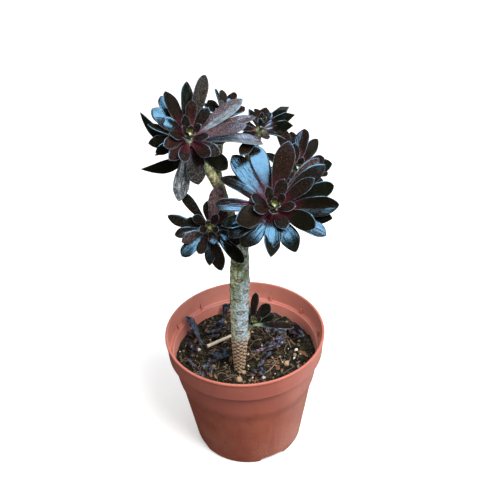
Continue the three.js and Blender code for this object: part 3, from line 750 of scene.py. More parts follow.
def dried_leaf_material():
    """Shrivelled leaf: dull purple-black, painted near-black in its creases as painted shade and blue-grey
    on its ridges as a painted highlight, with pinkish wear.
    """
    s = Shader("dried_leaf_skin", IOR=1.48, Specular_IOR_Level=0.45)
    rim, run, across, tint = map(s.value, ("rim", "run", "across", "tint"))
    wrinkle = s.noise(1.0, s.combine(run * 0.22, across * 1.1, tint), detail=4)
    mottle = s.noise(330.0, detail=4)
    # Painted shade and painted highlight: the creases are painted near-black and the ridges blue-grey, for
    # the shade in the folds and the sky's sheen on the ridges
    colour = s.ramp(
        wrinkle, (0.40, (0.005, 0.004, 0.005)), (0.52, (0.020, 0.017, 0.020)), (0.66, (0.130, 0.126, 0.145)),
    )
    colour = s.mix(s.span(mottle, 0.54, 0.66) * s.span(tint, 0.4, 0.9), colour, (0.34, 0.19, 0.25))
    colour = s.mix(s.span(rim, 0.1, 0.4, 0.3, 0.0), colour, (0.12, 0.13, 0.16))
    rough = s.span(mottle, 0.3, 0.7, 0.30, 0.52)
    return s.finish(Base_Color=colour, Roughness=rough, Normal=s.bump(wrinkle, 0.5))


# Leaves and heads

LEAF_STATIONS = 24
LEAF_RING = 20
LEAF_VALUES = (
    "along", "rim", "top", "run", "across", "young", "tint", "dust_and_sheen", "frost_and_sheen", "dark", "lined", "flush",
)

# A leaf's outline and section. Places and widths are shares of its length and full width
OUTLINE = dict(foot=0.3, widens=(0.05, 0.65), closes_from=0.74, closes_over=0.26)
STATION_CROWDING = 1.5
LAST_STATION = dict(place=0.994, narrowing=0.35)
SECTION = dict(
    keel_by=0.6, fold=1.95, fold_by_keel=1.9, edge_round=0.8, tip=0.7, rim_by_length=0.6, sides_part=6,
)
BEND_RATE = 1.7
SICKLE_RATE = 2.4
WAVE = dict(height=(0.08, 0.22), rate=(7, 12), phase=(0, 6), by=0.4)
WILT = dict(along=0.35, across=1.2, height=0.7)

RIM_FULL_WIDTH = 9  # narrower leaves have a narrower pale margin
SMALL_LEAF = 12  # shorter leaves are thinner
LEAST_THICKNESS = 0.4
YOUNG = dict(from_length=11, over=6)
YOUNG_POINT = 0.5  # how much more pointed the leaves of a heart are
HEART_GREEN = {"rear": 0.3, "side": 0.5, "left": 0.75}  # how green a head's heart is, where it isn't 1
SMALL_HEAD_FLUSH = {"rear": -0.3, "low": -0.6, "back": -0.3, "shoot": -1.4}

# What a leaf gets at random where its look doesn't say
TONES = dict(dark=(0, 0.8), lined=(0.1, 0.6))
SHAPES = dict(blunt=(1.6, 2.7), shoulder=(0.64, 0.84), sickle=0.018)
LEAF_SEEDS, TONE_SEEDS = 101, 50

# The fine hairs on a leaf's margins
CILIA = dict(
    spacing=0.8, length=0.5, radius=0.08, start=0.16, stray=(-0.25, 0.25), sunk=0.15, lean=(0.3, 0.9),
    rise=(-0.15, 0.3), size=(0.6, 1.15), corners=(0, 2.1, 4.2), shortest_leaf=6,
)
HAIR_LOOK = dict(along=0.8, rim=0.0, top=1.0)
SPIKE_FACES = ((0, 1, 3), (1, 2, 3), (2, 0, 3), (0, 2, 1))


def head_frame(head):
    azimuth, elevation = math.radians(head["azimuth"]), math.radians(head["elevation"])
    axis = np.array([
        math.sin(azimuth) * math.cos(elevation),
        -math.cos(azimuth) * math.cos(elevation),
        math.sin(elevation),
    ])
    right = np.array([math.cos(azimuth), math.sin(azimuth), 0])
    return axis, right, np.cross(axis, right)


def head_foot(head, back=0.0):
    """The point on a head's axis where its neck meets the branch."""
    return np.array(head["centre"]) - head_frame(head)[0] * (head["depth"] + NECK + back)


def leaf_rib(head, leaf, share):
    """Points, and along, face and side directions, at each share of a leaf's rib."""
    axis, right, up = head_frame(head)
    turn, lean, length, _, roll, sweep = leaf
    out = right * math.cos(math.radians(turn)) + up * math.sin(math.radians(turn))
    sunk = axis * head["depth"] * lean / BLADE["deepest_lean"]
    foot = np.array(head["centre"]) - sunk + out * head["core"] * BLADE["root_out"]
    sideways = np.cross(axis, out)
    bend = math.radians(head["bend"])
    first = math.radians(lean) - bend / 2
    slope = first + bend * share
    reach = length / bend
    point = (
        foot
        + np.outer(reach * (np.sin(slope) - math.sin(first)), axis)
        + np.outer(reach * (math.cos(first) - np.cos(slope)), out)
        + np.outer(sweep * share**3, sideways)
    )
    along = np.outer(np.cos(slope), axis) + np.outer(np.sin(slope), out)
    along = unit(along + np.outer(3 * sweep * share**2 / length, sideways))
    flat = np.outer(np.sin(slope), axis) - np.outer(np.cos(slope), out)
    twist = (math.radians(roll) * np.minimum(1, BLADE["roll_rate"] * share))[:, None]
    face = flat * np.cos(twist) + np.cross(along, flat) * np.sin(twist)
    return point, along, face, np.cross(face, along)


def leaf_width(share, blunt, shoulder):
    """A leaf's width as a share of its full width: narrow at the foot, widest near the pointed tip."""
    o = OUTLINE
    rise = rising(share, *o["widens"])
    closing = np.clip((share - o["closes_from"]) / o["closes_over"], 0, 1)
    return lerp(o["foot"], 1, rise) * (1 - closing**blunt) ** shoulder


def blade(rib, length, width, rng, blunt=2.2, shoulder=0.7, keel=0.25, droop=0.0, hinge=0.45, sickle=0.0,
          wilt=0.0, thin=1.0):
    """A fleshy leaf: points, faces, the values that its material reads, and its two margins."""
    share = 1 - (1 - np.linspace(0, 1, LEAF_STATIONS)) ** STATION_CROWDING
    share[-1] = LAST_STATION["place"]
    point, along, face, side = rib(share)
    tip_point, tip_along, _, _ = rib(np.array([1.0]))
    half = 0.5 * width * leaf_width(share, blunt, shoulder)
    half[-1] = min(half[-1], LAST_STATION["narrowing"] * half[-2])
    thick = thin * lerp(BLADE["root"], BLADE["tip"], share)
    angle = np.linspace(0, 2 * np.pi, LEAF_RING, endpoint=False)
    c, s = np.cos(angle), np.sin(angle)
    lift = keel * half * smoothstep(share / SECTION["keel_by"])
    fold = SECTION["fold"] - SECTION["fold_by_keel"] * keel
    recurve = -droop * length * np.clip((share - hinge) / (1 - hinge), 0, 1) ** BEND_RATE
    height, rate, phase = (rng.uniform(*WAVE[name]) for name in ("height", "rate", "phase"))
    wave = height * np.sin(share * rate + phase) * smoothstep(share / WAVE["by"])
    across = half[:, None] * c
    rise = (
        recurve[:, None]
        + lift[:, None] * np.abs(c) ** fold
        + wave[:, None] * c * np.abs(c)
        + 0.5 * thick[:, None] * np.sign(s) * np.abs(s) ** SECTION["edge_round"]
    )
    if wilt:
        level = np.zeros_like(across)
        run = share[:, None] * length * WILT["along"] + level
        crease = np.stack([run, across * WILT["across"], level], axis=-1).reshape(-1, 3)
        creases = noise(crease, 1.0, int(rng.integers(1000))).reshape(rise.shape)
        rise = rise + wilt * WILT["height"] * creases
    points = (
        point[:, None]
        + side[:, None] * (across + (sickle * share**SICKLE_RATE)[:, None])[:, :, None]
        + face[:, None] * rise[:, :, None]
    )
    tip = tip_point[0] + side[-1] * sickle - face[-1] * droop * length + tip_along[0] * SECTION["tip"]
    from_tip = (1 - share[:, None]) * length * SECTION["rim_by_length"]
    values = dict(
        along=np.broadcast_to(share[:, None], rise.shape),
        rim=np.minimum(half[:, None] * (1 - np.abs(c)), from_tip),
        top=np.broadcast_to(np.clip(s * SECTION["sides_part"], -1, 1), rise.shape),
        run=np.broadcast_to((share * length)[:, None], rise.shape),
        across=across,
    )
    ends = dict(along=(0, 1), rim=(1, 0), top=(0, 0), run=(0, length), across=(0, 0))
    values = {name: np.concatenate([v.ravel(), ends[name]]) for name, v in values.items()}
    margins = points[:, [0, LEAF_RING // 2]]
    points = np.vstack([points.reshape(-1, 3), point[0], tip])
    return points, loft_faces(LEAF_STATIONS, LEAF_RING), values, margins, (along, side, face)


def cilia(margins, directions, rng):
    """The fine hairs on a leaf's two margins, as slim closed spikes."""
    hairs = Parts()
    for k, sign in enumerate((1, -1)):
        line = margins[:, k]
        length = run_along(line)
        places = np.arange(CILIA["start"] * length[-1], length[-1], CILIA["spacing"])
        each = (len(places), 1)
        places = places + rng.uniform(*CILIA["stray"], len(places))
        foot, a, b, n = (at_length(places, length, values) for values in (line, *directions))
        a, b, n = unit(a), unit(b) * sign, unit(n)
        way = unit(b + a * rng.uniform(*CILIA["lean"], each) + n * rng.uniform(*CILIA["rise"], each))
        size = CILIA["length"] * rng.uniform(*CILIA["size"], each)
        root = foot - way * CILIA["sunk"]
        corners = [root + (a * math.cos(t) + n * math.sin(t)) * CILIA["radius"] for t in CILIA["corners"]]
        spikes = np.stack([*corners, foot + way * size], axis=1).reshape(-1, 3)
        hairs.add(spikes, [[i + c for c in face] for i in range(0, len(spikes), 4) for face in SPIKE_FACES])
    return np.vstack(hairs.points), hairs.faces


def spiral_leaves(count, start, lean, length, tip_lean, tip_length, width_share):
    """Leaves by the golden angle, steeper and shorter inwards."""
    leaves = []
    for k in range(count):
        share = k / (count - 1)
        size = lerp(length, tip_length, share)
        leaves.append((start + GOLDEN_ANGLE * k, lerp(lean, tip_lean, share), size, size * width_share))
    return leaves


def neck(head, radius):
    """The bare stem tip under the lowest leaves, and the core that the leaves stand on."""
    axis, right, up = head_frame(head)
    sunk, sides = CORE["sunk"], CORE["sides"]
    foot = head_foot(head, sunk)
    reach = head["depth"] + NECK
    core = head["core"]
    rises = np.array([0, sunk, 0.5 * NECK, NECK + sunk, reach * CORE["shoulder"], reach])
    radii = np.array([radius, radius, lerp(radius, core, 0.5), core, core, core * CORE["top"]])
    angle = np.linspace(0, 2 * np.pi, sides, endpoint=False)
    spokes = right * np.cos(angle)[:, None] + up * np.sin(angle)[:, None]
    rings = foot + np.multiply.outer(rises, axis)[:, None] + radii[:, None, None] * spokes
    tip = foot + axis * (reach + CORE["tip"])
    return np.vstack([rings.reshape(-1, 3), foot, tip]), loft_faces(len(rises), sides)


def rosette(name, skin, bark, seed):
    """One head: its core, grown leaves, young leaves and bud, with the hairs on their margins."""
    rng = np.random.default_rng(seed)
    tones = np.random.default_rng(seed + TONE_SEEDS)
    head = HEADS[name]
    parts = Parts(*LEAF_VALUES)
    parts.add(*neck(head, BRANCHES[name]["radius"]), material=1)
    heart = spiral_leaves(**head["heart"], **HEART)
    bud_start = head["heart"]["start"] + GOLDEN_ANGLE * head["heart"]["count"]
    bud = spiral_leaves(start=bud_start, **BUD)
    grown = len(head["leaves"])
    green = HEART_GREEN.get(name, 1.0)
    for k, leaf in enumerate([*head["leaves"], *heart, *bud]):
        turn, lean, length, width, roll, sweep = (*leaf, 0, 0)[:6]
        look = dict(LOOKS[name].get(turn, {}) if k < grown else {})
        tone = dict(
            dust_and_sheen=look.pop("dust_and_sheen", 0.0),
            frost_and_sheen=look.pop("frost_and_sheen", 0.0),
            dark=look.pop("dark", tones.uniform(*TONES["dark"])),
            lined=look.pop("lined", tones.uniform(*TONES["lined"])),
            flush=look.pop("flush", SMALL_HEAD_FLUSH.get(name, 0.0)),
            young=green * float(smoothstep((YOUNG["from_length"] - length) / YOUNG["over"])),
        )
        look.setdefault("blunt", rng.uniform(*SHAPES["blunt"]) - (YOUNG_POINT if k >= grown else 0))
        look.setdefault("shoulder", rng.uniform(*SHAPES["shoulder"]))
        curve = CURVES[look.pop("curve", "cupped")]
        leaf = (turn, lean, length, width, roll + look.pop("twist", 0), sweep)
        look.setdefault("sickle", length * rng.normal(0, SHAPES["sickle"]))
        tone["tint"] = rng.uniform(0, 1)
        look["thin"] = 1.0 if length > SMALL_LEAF else max(LEAST_THICKNESS, length / SMALL_LEAF)
        points, faces, values, margins, directions = blade(
            lambda share: leaf_rib(head, leaf, share), length, width, rng, **curve, **look,
        )
        values["rim"] = values["rim"] * max(1, RIM_FULL_WIDTH / width)
        parts.add(points, faces, **values, **tone)
        if length > CILIA["shortest_leaf"]:
            parts.add(*cilia(margins, directions, rng), **HAIR_LOOK, **tone)
    return parts.build(f"leaves_{name}", (skin, bark), (f"rosette_{name}",))


# Stem

STEM = dict(voxel=0.45, softening=0.5, rounds=8, sides=40, trunk_points=240, branch_points=120)
SCARS = dict(rise=2.4, width=5.6, height=2.9, depth=0.45)
BRANCH_SCARS = dict(rise=1.3, width=2.6, height=1.3, depth=0.25)
FOOT_SCARS = dict(
    around=7, row=1.9, depth=0.8, slimming=0.14, slim_over=26, top=108, fade=14, stray=3, lumps=(6, 4),
)

# The form and tone of one eye-shaped scar, and of one scale at the foot
EYE = dict(
    stray=0.35, turn_stray=0.03, width_stray=0.15, square=(1.7, 1.5), inside=(1.15, 0.5), heart=(0.45, 0.35),
    lip=0.42, lip_reach=1.5, sunk=0.8, lip_tone=0.9, inside_tone=0.55,
)
SCALE = dict(
    stray=0.07, stray_rate=1.7, narrow=1.9, square=(1.5, 1.3), flat=1.1, bulge=(0.1, 0.7), rim=(0.28, 0.3),
)

# A pale film on the trunk, painted stronger on the side towards the key light and weaker on the shaded side
# as painted light, and where the bark is fresh or woody
BARK_VALUES = ("scar", "scar_heart", "foot", "bloom_and_lit_side", "fresh", "woody")
BLOOM_AND_LIT_SIDE = dict(side=(0.85, -0.5, 0.1), middle=0.5, painted_light_by_side=0.55, less=0.35, above=(150, 45))
TRUNK_FRESH = (140, 50)
BRANCH_BARK = dict(heart=0.6, fresh=(0.35, 0.5), bare=(0.55, 0.3), bloom_and_lit_side=0.1, woody=0.6)
BRANCH_BLOOM = {"shoot": 0.75}
BRANCH_WOOD = {"left": 0.75, "shoot": 0.0}
BARK_LUMPS = ((0.12, 5, 11), (0.05, 1.6, 12))  # height, size and seed
NEAREST_BLOCK = 4000


def branch_path(name):
    head = HEADS[name]
    return [*BRANCHES[name]["path"], head_foot(head, GAP + BRANCH_LEAD), head_foot(head, GAP)]


def stem_lines():
    """The trunk's and each branch's centreline, with its radii."""
    trunk = catmull_rom(TRUNK["path"], STEM["trunk_points"])
    radii = TRUNK["radii"]
    share = np.linspace(0, len(radii) - 1, len(trunk))
    buried = 1 - rising(trunk[:, 2], SOIL["top"], FOOT_SCARS["slim_over"])
    slim = 1 - FOOT_SCARS["slimming"] * buried
    lines = {"trunk": (trunk, slim * np.interp(share, range(len(radii)), radii))}
    for name, branch in BRANCHES.items():
        line = catmull_rom(branch_path(name), STEM["branch_points"])
        flare = 1 + BRANCH_FLARE * (1 - np.linspace(0, 1, len(line))) ** 3
        lines[name] = (line, branch["radius"] * flare)
    return lines


def fused_tubes(lines):
    """One mesh over all the tubes, with soft forks."""
    parts = Parts()
    for line, radii in lines.values():
        parts.add(*tube(line, radii, STEM["sides"]))
    piece = parts.build("stem_bark", (), ("stem",))
    remesh = piece.modifiers.new("fuse", "REMESH")
    remesh.mode = "VOXEL"
    remesh.voxel_size = STEM["voxel"] * MM
    smooth = piece.modifiers.new("soften", "SMOOTH")
    smooth.factor = STEM["softening"]
    smooth.iterations = STEM["rounds"]
    apply_modifiers(piece)
    return piece


def wrapped(turn):
    """A turn in circles, as the same turn from -0.5 to 0.5."""
    return (turn + 0.5) % 1 - 0.5


def eye_scars(turn, height, girth, scars, top, seed):
    """Relief, rim and heart of eye-shaped scars on a spiral, where turn is in circles and height in mm."""
    rng = np.random.default_rng(seed)
    relief, rim, heart = (np.zeros(len(turn)) for _ in range(3))
    for k in range(int(top / scars["rise"])):
        jitter = rng.uniform(-1, 1, 3)
        at = k * scars["rise"] + EYE["stray"] * scars["height"] * jitter[0]
        aside = wrapped(turn - k * GOLDEN_ANGLE / 360 - EYE["turn_stray"] * jitter[1])
        near = np.abs(height - at) < 2 * scars["height"]
        x = aside[near] * girth[near] / (scars["width"] * (1 + EYE["width_stray"] * jitter[2]) / 2)
        y = (height[near] - at) / (scars["height"] / 2)
        eye = np.abs(x) ** EYE["square"][0] + np.abs(y) ** EYE["square"][1]
        inside, core = (smoothstep((end - eye) / over) for end, over in (EYE["inside"], EYE["heart"]))
        lip = np.exp(-(((eye - 1.0) / EYE["lip"]) ** 2)) * (np.abs(x) < EYE["lip_reach"])
        relief[near] += scars["depth"] * (lip - EYE["sunk"] * inside)
        rim[near] = np.maximum(rim[near], np.maximum(lip * EYE["lip_tone"], inside * EYE["inside_tone"]))
        heart[near] = np.maximum(heart[near], core)
    return relief, rim, heart


def husk_scars(turn, height):
    """Relief and rim of the crowded scale-like scars at the foot of the trunk."""
    around = FOOT_SCARS["around"]
    level = height / FOOT_SCARS["row"]
    best = np.full(len(turn), -1.0)
    for offset in (0, 1):
        k = np.floor(level) + offset
        centre_turn = (np.mod(k, 2) * 0.5 + SCALE["stray"] * np.sin(k * SCALE["stray_rate"])) / around
        x = (np.abs(wrapped((turn - centre_turn) * around)) * SCALE["narrow"]) ** SCALE["square"][0]
        y = np.abs(level - k) ** SCALE["square"][1] * SCALE["flat"]
        best = np.maximum(best, 1 - x - y)
    return FOOT_SCARS["depth"] * (rising(best, *SCALE["bulge"]) - 0.5), 1 - rising(best, *SCALE["rim"])


def trunk_skin(turn, height, girth, length, points, way, seed):
    """Relief, and the values that the bark reads, on the trunk."""
    scars, rim, heart = eye_scars(turn, height, girth, SCARS, length, seed)
    husk, husk_rim = husk_scars(turn, height)
    z = points[:, 2]
    ragged = z - FOOT_SCARS["top"] + FOOT_SCARS["stray"] * noise(points, *FOOT_SCARS["lumps"])
    foot = 1 - smoothstep(ragged / FOOT_SCARS["fade"])
    # Painted light: paler on the side towards the key light, darker on the side away from it
    sideways = BLOOM_AND_LIT_SIDE["painted_light_by_side"] * (way @ unit(BLOOM_AND_LIT_SIDE["side"]))
    bloom_and_lit_side = BLOOM_AND_LIT_SIDE["middle"] + sideways - BLOOM_AND_LIT_SIDE["less"] * rising(z, *BLOOM_AND_LIT_SIDE["above"])
    return lerp(scars, husk, foot), dict(
        scar=lerp(rim, husk_rim, foot),
        scar_heart=heart * (1 - foot),
        foot=foot,
        bloom_and_lit_side=smoothstep(bloom_and_lit_side),
        fresh=rising(z, *TRUNK_FRESH),
    )


def branch_skin(name, turn, height, girth, length, seed):
    """Relief, and the values that the bark reads, on a branch."""
    share = height / length
    scars, rim, heart = eye_scars(turn, height, girth, BRANCH_SCARS, length, seed)
    return scars, dict(
        scar=rim,
        scar_heart=heart * BRANCH_BARK["heart"],
        bloom_and_lit_side=BRANCH_BLOOM.get(name, BRANCH_BARK["bloom_and_lit_side"]),
        fresh=rising(share, *BRANCH_BARK["fresh"]),
        woody=BRANCH_WOOD.get(name, BRANCH_BARK["woody"]) * (1 - rising(share, *BRANCH_BARK["bare"])),
    )


def stem_piece(material):
    lines = stem_lines()
    piece = fused_tubes(lines)
    mesh = piece.data
    points, normals = (vectors(mesh, name) for name in ("co", "normal"))
    points = points / MM
    depth = np.full(len(points), np.inf)
    values = {name: np.zeros(len(points)) for name in BARK_VALUES}
    relief = np.zeros(len(points))
    for seed, (name, (line, radii)) in enumerate(lines.items()):
        tangent, normal, binormal = frames_along(line)
        nearest = nearest_on(line, points)
        offset = points - line[nearest]
        over = np.linalg.norm(offset, axis=1) - radii[nearest]
        mine = over < depth
        depth = np.minimum(depth, over)
        nearest, offset = nearest[mine], offset[mine]
        a, b, t = ((offset * way[nearest]).sum(1) for way in (normal, binormal, tangent))
        turn = np.arctan2(b, a) / (2 * np.pi)
        spacing = np.linalg.norm(line[1] - line[0])
        height = nearest * spacing + t
        girth = 2 * np.pi * radii[nearest]
        length = len(line) * spacing
        if name == "trunk":
            skin = trunk_skin(turn, height, girth, length, points[mine], unit(offset), seed)
        else:
            skin = branch_skin(name, turn, height, girth, length, seed)
        relief[mine] = skin[0]
        for value, numbers in skin[1].items():
            values[value][mine] = numbers
    relief += sum(height * noise(points, size, seed) for height, size, seed in BARK_LUMPS)
    points = (points + normals * relief[:, None]) * MM
    mesh.vertices.foreach_set("co", points.astype(np.float32).ravel())
    set_values(mesh, values)
    mesh.materials.append(material)
    mesh.update()
    mesh.shade_smooth()
    return piece


def nearest_on(line, points):
    """For each point, the index of the nearest point of a line."""
    found = np.empty(len(points), int)
    for start in range(0, len(points), NEAREST_BLOCK):
        block = points[start:start + NEAREST_BLOCK]
        squares = ((block[:, None] - line[None]) ** 2).sum(2)
        found[start:start + NEAREST_BLOCK] = squares.argmin(1)
    return found


# Pot

POT_SOFT = 7  # how soft the corners of the step are
MOST_ROUND = 0.48  # the share of the side next to a corner that its arc may take
POT_SHARP_ANGLE = 40


def rounded(corners, count=5):
    """An outline through (radius, height, round) corners, each turned into an arc of that size."""
    outline = [np.array(corners[0][:2], float)]
    for before, here, after in zip(corners, corners[1:], corners[2:]):
        a, p, b = (np.array(c[:2], float) for c in (before, here, after))
        into, out = p - a, b - p
        size = min(here[2], MOST_ROUND * np.linalg.norm(into), MOST_ROUND * np.linalg.norm(out))
        start, end = p - unit(into) * size, p + unit(out) * size
        for t in np.linspace(0, 1, count):
            outline.append(arc(t, start, p, end))
    outline.append(np.array(corners[-1][:2], float))
    return np.array(outline)


def arc(t, start, corner, end):
    """The point at share t of a soft turn from start to end, drawn towards a corner."""
    return (1 - t) ** 2 * start + 2 * t * (1 - t) * corner + t**2 * end


def pot_outline():
    p = POT
    band_foot = p["height"] - p["band"]
    lip_foot = p["height"] - p["lip"]
    step_top = p["step_height"] + p["step_rise"]
    wall, edge = p["wall"], p["round"]
    return rounded((
        (0, 0, 0),
        (p["base"] - p["chamfer"], 0, 0.8),
        (p["base"], p["chamfer"], 1.2),
        (p["step_inner"], p["step_height"], POT_SOFT),
        (p["step_outer"], step_top, POT_SOFT),
        (p["under_band"], band_foot - edge, 0.5),
        (p["band_radius"], band_foot, 0.5),
        (p["rim"] - edge, lip_foot, 0.5),
        (p["rim"], lip_foot + edge, 0.5),
        (p["rim"], p["height"] - edge, 0.6),
        (p["rim"] - edge, p["height"], 0.6),
        (p["rim"] - wall - edge, p["height"], 0.6),
        (p["band_radius"] - wall, band_foot + wall, 0.8),
        (p["under_band"] - wall, band_foot + wall - edge, 0.8),
        (p["step_outer"] - wall, step_top, POT_SOFT),
        (p["step_inner"] - wall, p["step_height"], POT_SOFT),
        (p["base"] - wall, p["floor"] + p["chamfer"], 1.0),
        (p["base"] - wall - p["chamfer"], p["floor"], 1.0),
        (0, p["floor"], 0),
    ))


def turned(outline, sides):
    """A solid of revolution whose outline starts and ends on the axis."""
    rings = [ring(radius, height, sides) for radius, height in outline[1:-1]]
    ends = np.array([[0, 0, outline[0, 1]], [0, 0, outline[-1, 1]]])
    return np.vstack([*rings, ends]), loft_faces(len(rings), sides)


def bar(outlines, turn):
    """A closed bar between two matching outlines, turned round the pot."""
    count = len(outlines[0])
    faces = [tuple(range(count)), tuple(range(count, 2 * count))]
    faces += [(i, (i + 1) % count, count + (i + 1) % count, count + i) for i in range(count)]
    c, s = math.cos(math.radians(turn)), math.sin(math.radians(turn))
    return np.vstack(outlines) @ np.array([[c, s, 0], [-s, c, 0], [0, 0, 1]]), faces


def lug(turn):
    """A stacking lug: a small rib that stands on the inner ledge against the collar."""
    ledge = POT["height"] - POT["band"]
    wall = POT["band_radius"] - POT["wall"] + LUG["sunk"]
    section = (
        (wall - LUG["depth"], ledge), (wall, ledge), (wall, ledge + LUG["height"]),
        (wall - LUG["depth"] * LUG["taper"], ledge + LUG["height"]),
    )
    half = LUG["width"] / 2
    return bar([[(r, y, z) for r, z in section] for y in (-half, half)], turn)


def drain(turn):
    """The cutter of a drain notch: a low arch through the corner of wall and floor."""
    half = DRAIN["width"] / 2
    crown, rise = half * DRAIN["flat"], DRAIN["height"]
    t = np.linspace(0, 1, DRAIN["points"])
    flank = np.column_stack([arc(t, half, half, crown), arc(t, -DRAIN["below"], rise, rise)])
    arch = np.vstack([flank, flank[::-1] * (-1, 1)])
    ends = (POT["base"] - DRAIN["depth"], POT["base"] + DRAIN["overrun"])
    return bar([[(r, y, z) for y, z in arch] for r in ends], turn)


def combine(piece, operation, shape, row):
    """Join a shape to a piece, or cut it from it, at even places round the pot."""
    parts = Parts()
    for k in range(row["count"]):
        parts.add(*shape(row["phase"] + 360 / row["count"] * k))
    mesh = parts.mesh("tool")
    mesh.shade_flat()
    tool = add_object("tool", mesh)
    change = piece.modifiers.new("change", "BOOLEAN")
    change.operation = operation
    change.solver = "EXACT"
    change.object = tool
    apply_modifiers(piece)
    bpy.data.objects.remove(tool)


def pot_piece(material):
    parts = Parts()
    parts.add(*turned(pot_outline(), POT_SIDES))
    piece = parts.build("pot_shell", (material,), ("pot",))
    combine(piece, "UNION", lug, LUG)
    combine(piece, "DIFFERENCE", drain, DRAIN)
    piece.data.set_sharp_from_angle(angle=math.radians(POT_SHARP_ANGLE))
    return piece


# Soil and what lies on it

SOIL_LUMPS = ((0.75, 4.2, 21), (0.45, 1.7, 22), (0.22, 0.8, 23))  # height, size and seed
BED = dict(settled=0.2, top_clear=0.25, wall_clear=0.35, top_wall=6, foot=5)
CLEAR_OF_TRUNK = 5.5
LYING_ABOVE = 0.1
SHIFT = 30  # how far apart two grains may read the noise

# Grains and pieces of bark. A placed one is x, y and size
GRAIN = dict(stretch=(0.55, 1.2), lumps=(0.28, 0.7, 31), sunk=0.15, placed_level=3, level=2)
CRUMBS = dict(count=2300, seed=41, edge=1.2, least=0.35, more=1.25, small=3.2, fine=0.9, sunk=0.3, dark=1.6)
CHIPS = dict(
    count=46, seed=61, edge=4, size=(1.6, 3.2), largest=(46.5, -3.2, 4.6), square=0.6, width=(0.3, 0.55),
    thickness=(0.12, 0.22), lumps=(0.2, 0.5, 33), tilt=0.35, roll=-0.7, above=0.7,
)
PERLITE = dict(extra=26, seed=51, sizes=(0.4, 0.9), placed=(
    (14.3, 7.7, 1.3), (41.9, -0.3, 1.5), (39.6, -8.4, 1.1), (1.8, -2.0, 1.2), (-39.1, 4.7, 1.4),
    (-29.7, 17.5, 1.1), (-46.6, -8.8, 1.4), (-16.2, -14.1, 1.0), (1.5, -16.5, 1.1), (4.8, -30.3, 1.0),
    (13.6, -31.6, 1.5), (26.0, -22.6, 0.9), (-50.3, 11.7, 1.1),
))
PEBBLES = dict(extra=8, seed=52, sizes=(0.8, 1.6), placed=(
    (32.9, -16.3, 2.4), (-2.7, -23.7, 2.3), (-6.3, -31.9, 2.5), (41.9, -20.0, 1.3),
))

# Roots, and what has dried on the soil. spread is how much wider a fallen leaf is than its solid
ROOTS = dict(
    count=120, seed=71, edge=9, stride=2.3, strides=(4, 9), bend=0.35, wander=0.3, size=(0.14, 0.34),
    taper=0.6, hump=(0.3, 1.4), above=0.35, smoothing=4, points=8, sides=8,
)
LARGE_ROOTS = dict(size=0.6, hump=1.6, lines=(
    ((4, -28), (12, -27), (19, -24), (23.5, -16), (22, -9.5), (18, -7), (13, -10), (10, -13)),
    ((-6, -26), (-4, -31), (-3, -36)),
))
DRIED = dict(seed=80, spread=1.25, form=dict(keel=0.85, wilt=2.2, thin=0.35))
TWIG_SKIN = dict(
    points=40, sides=24, taper=0.15, waves=((0.04, 23, 0), (0.03, 51, 1)), lumps=(0.06, 0.9, 51), sharp=50,
)
SCRAPS = dict(
    seed=95, length=(7, 13), width=(3, 6), tint=(0.3, 1.0), form=dict(keel=0.4, wilt=1.7, thin=0.4),
    bends=((0, 12), (-20, 50), (-60, 60), (-50, 50)), places=(
        (-28.9, 36.4), (-44.1, 1.3), (-37.9, -18.5), (-41.3, -14.7), (-35.4, -25.7), (-22, 24), (-26, -10),
        (30, 12), (20, 20), (36, 22), (12, 34), (-12, 30), (-48, 6), (-44, 22), (-30, -24), (26, 30),
        (40, 14),
    ),
)


def soil_height(x, y):
    """The height of the low clods, as in the construction."""
    clods = 0.9 * np.sin(0.31 * x + 1.3) * np.cos(0.27 * y - 0.4) + 0.6 * np.sin(0.44 * x - 0.38 * y + 2)
    return SOIL["top"] + clods


def crumbled_height(x, y):
    """The soil's height with its crumbs."""
    place = np.column_stack([x, y, np.zeros(len(x))])
    crumbs = sum(height * noise(place, size, seed) for height, size, seed in SOIL_LUMPS)
    return soil_height(x, y) + crumbs - BED["settled"]


def on_top(x, y, above=0.0):
    """A place above the crumbled soil."""
    return x, y, float(crumbled_height(np.array([x]), np.array([y]))[0]) + above


def wall_radius(z):
    """The pot's inner radius at a height below its ledge."""
    p = POT
    heights = (p["floor"], p["step_height"], p["step_height"] + p["step_rise"], p["height"] - p["band"])
    radii = (p["base"], p["step_inner"], p["step_outer"], p["under_band"])
    return np.interp(z, heights, radii) - p["wall"]


def soil_piece(material):
    sides, count, bedding = SOIL["sides"], SOIL["rings"], SOIL["bedding"]
    spread = np.linspace(0, 1, count + 1)[1:] * (wall_radius(SOIL["top"] - 1) - BED["top_clear"])
    flat = np.vstack([ring(radius, 0, sides) for radius in spread])
    flat[:, 2] = crumbled_height(flat[:, 0], flat[:, 1])
    step = POT["step_height"]
    levels = (SOIL["top"] - BED["top_wall"], step + POT["step_rise"], step, BED["foot"])
    walls = [ring(wall_radius(level) - BED["wall_clear"], level, sides) for level in levels]
    bottom = ring(POT["base"] - POT["wall"] - 2 * POT["chamfer"], bedding, sides)
    parts = Parts()
    points = np.vstack([flat, *walls, bottom, on_top(0.0, 0.0), (0, 0, bedding)])
    parts.add(points, loft_faces(count + len(levels) + 1, sides))
    return parts.build("soil_bed", (material,), ("soil",))


def ball(level):
    """A unit ball of triangles."""
    work = bmesh.new()
    bmesh.ops.create_icosphere(work, subdivisions=level, radius=1)
    points = np.array([v.co[:] for v in work.verts])
    faces = [tuple(v.index for v in f.verts) for f in work.faces]
    work.free()
    return points, faces


def random_turn(rng):
    """A rotation matrix for any way round, each as likely."""
    w, x, y, z = unit(rng.normal(size=4))
    return np.array([
        [1 - 2 * (y * y + z * z), 2 * (x * y - z * w), 2 * (x * z + y * w)],
        [2 * (x * y + z * w), 1 - 2 * (x * x + z * z), 2 * (y * z - x * w)],
        [2 * (x * z - y * w), 2 * (y * z + x * w), 1 - 2 * (x * x + y * y)],
    ])


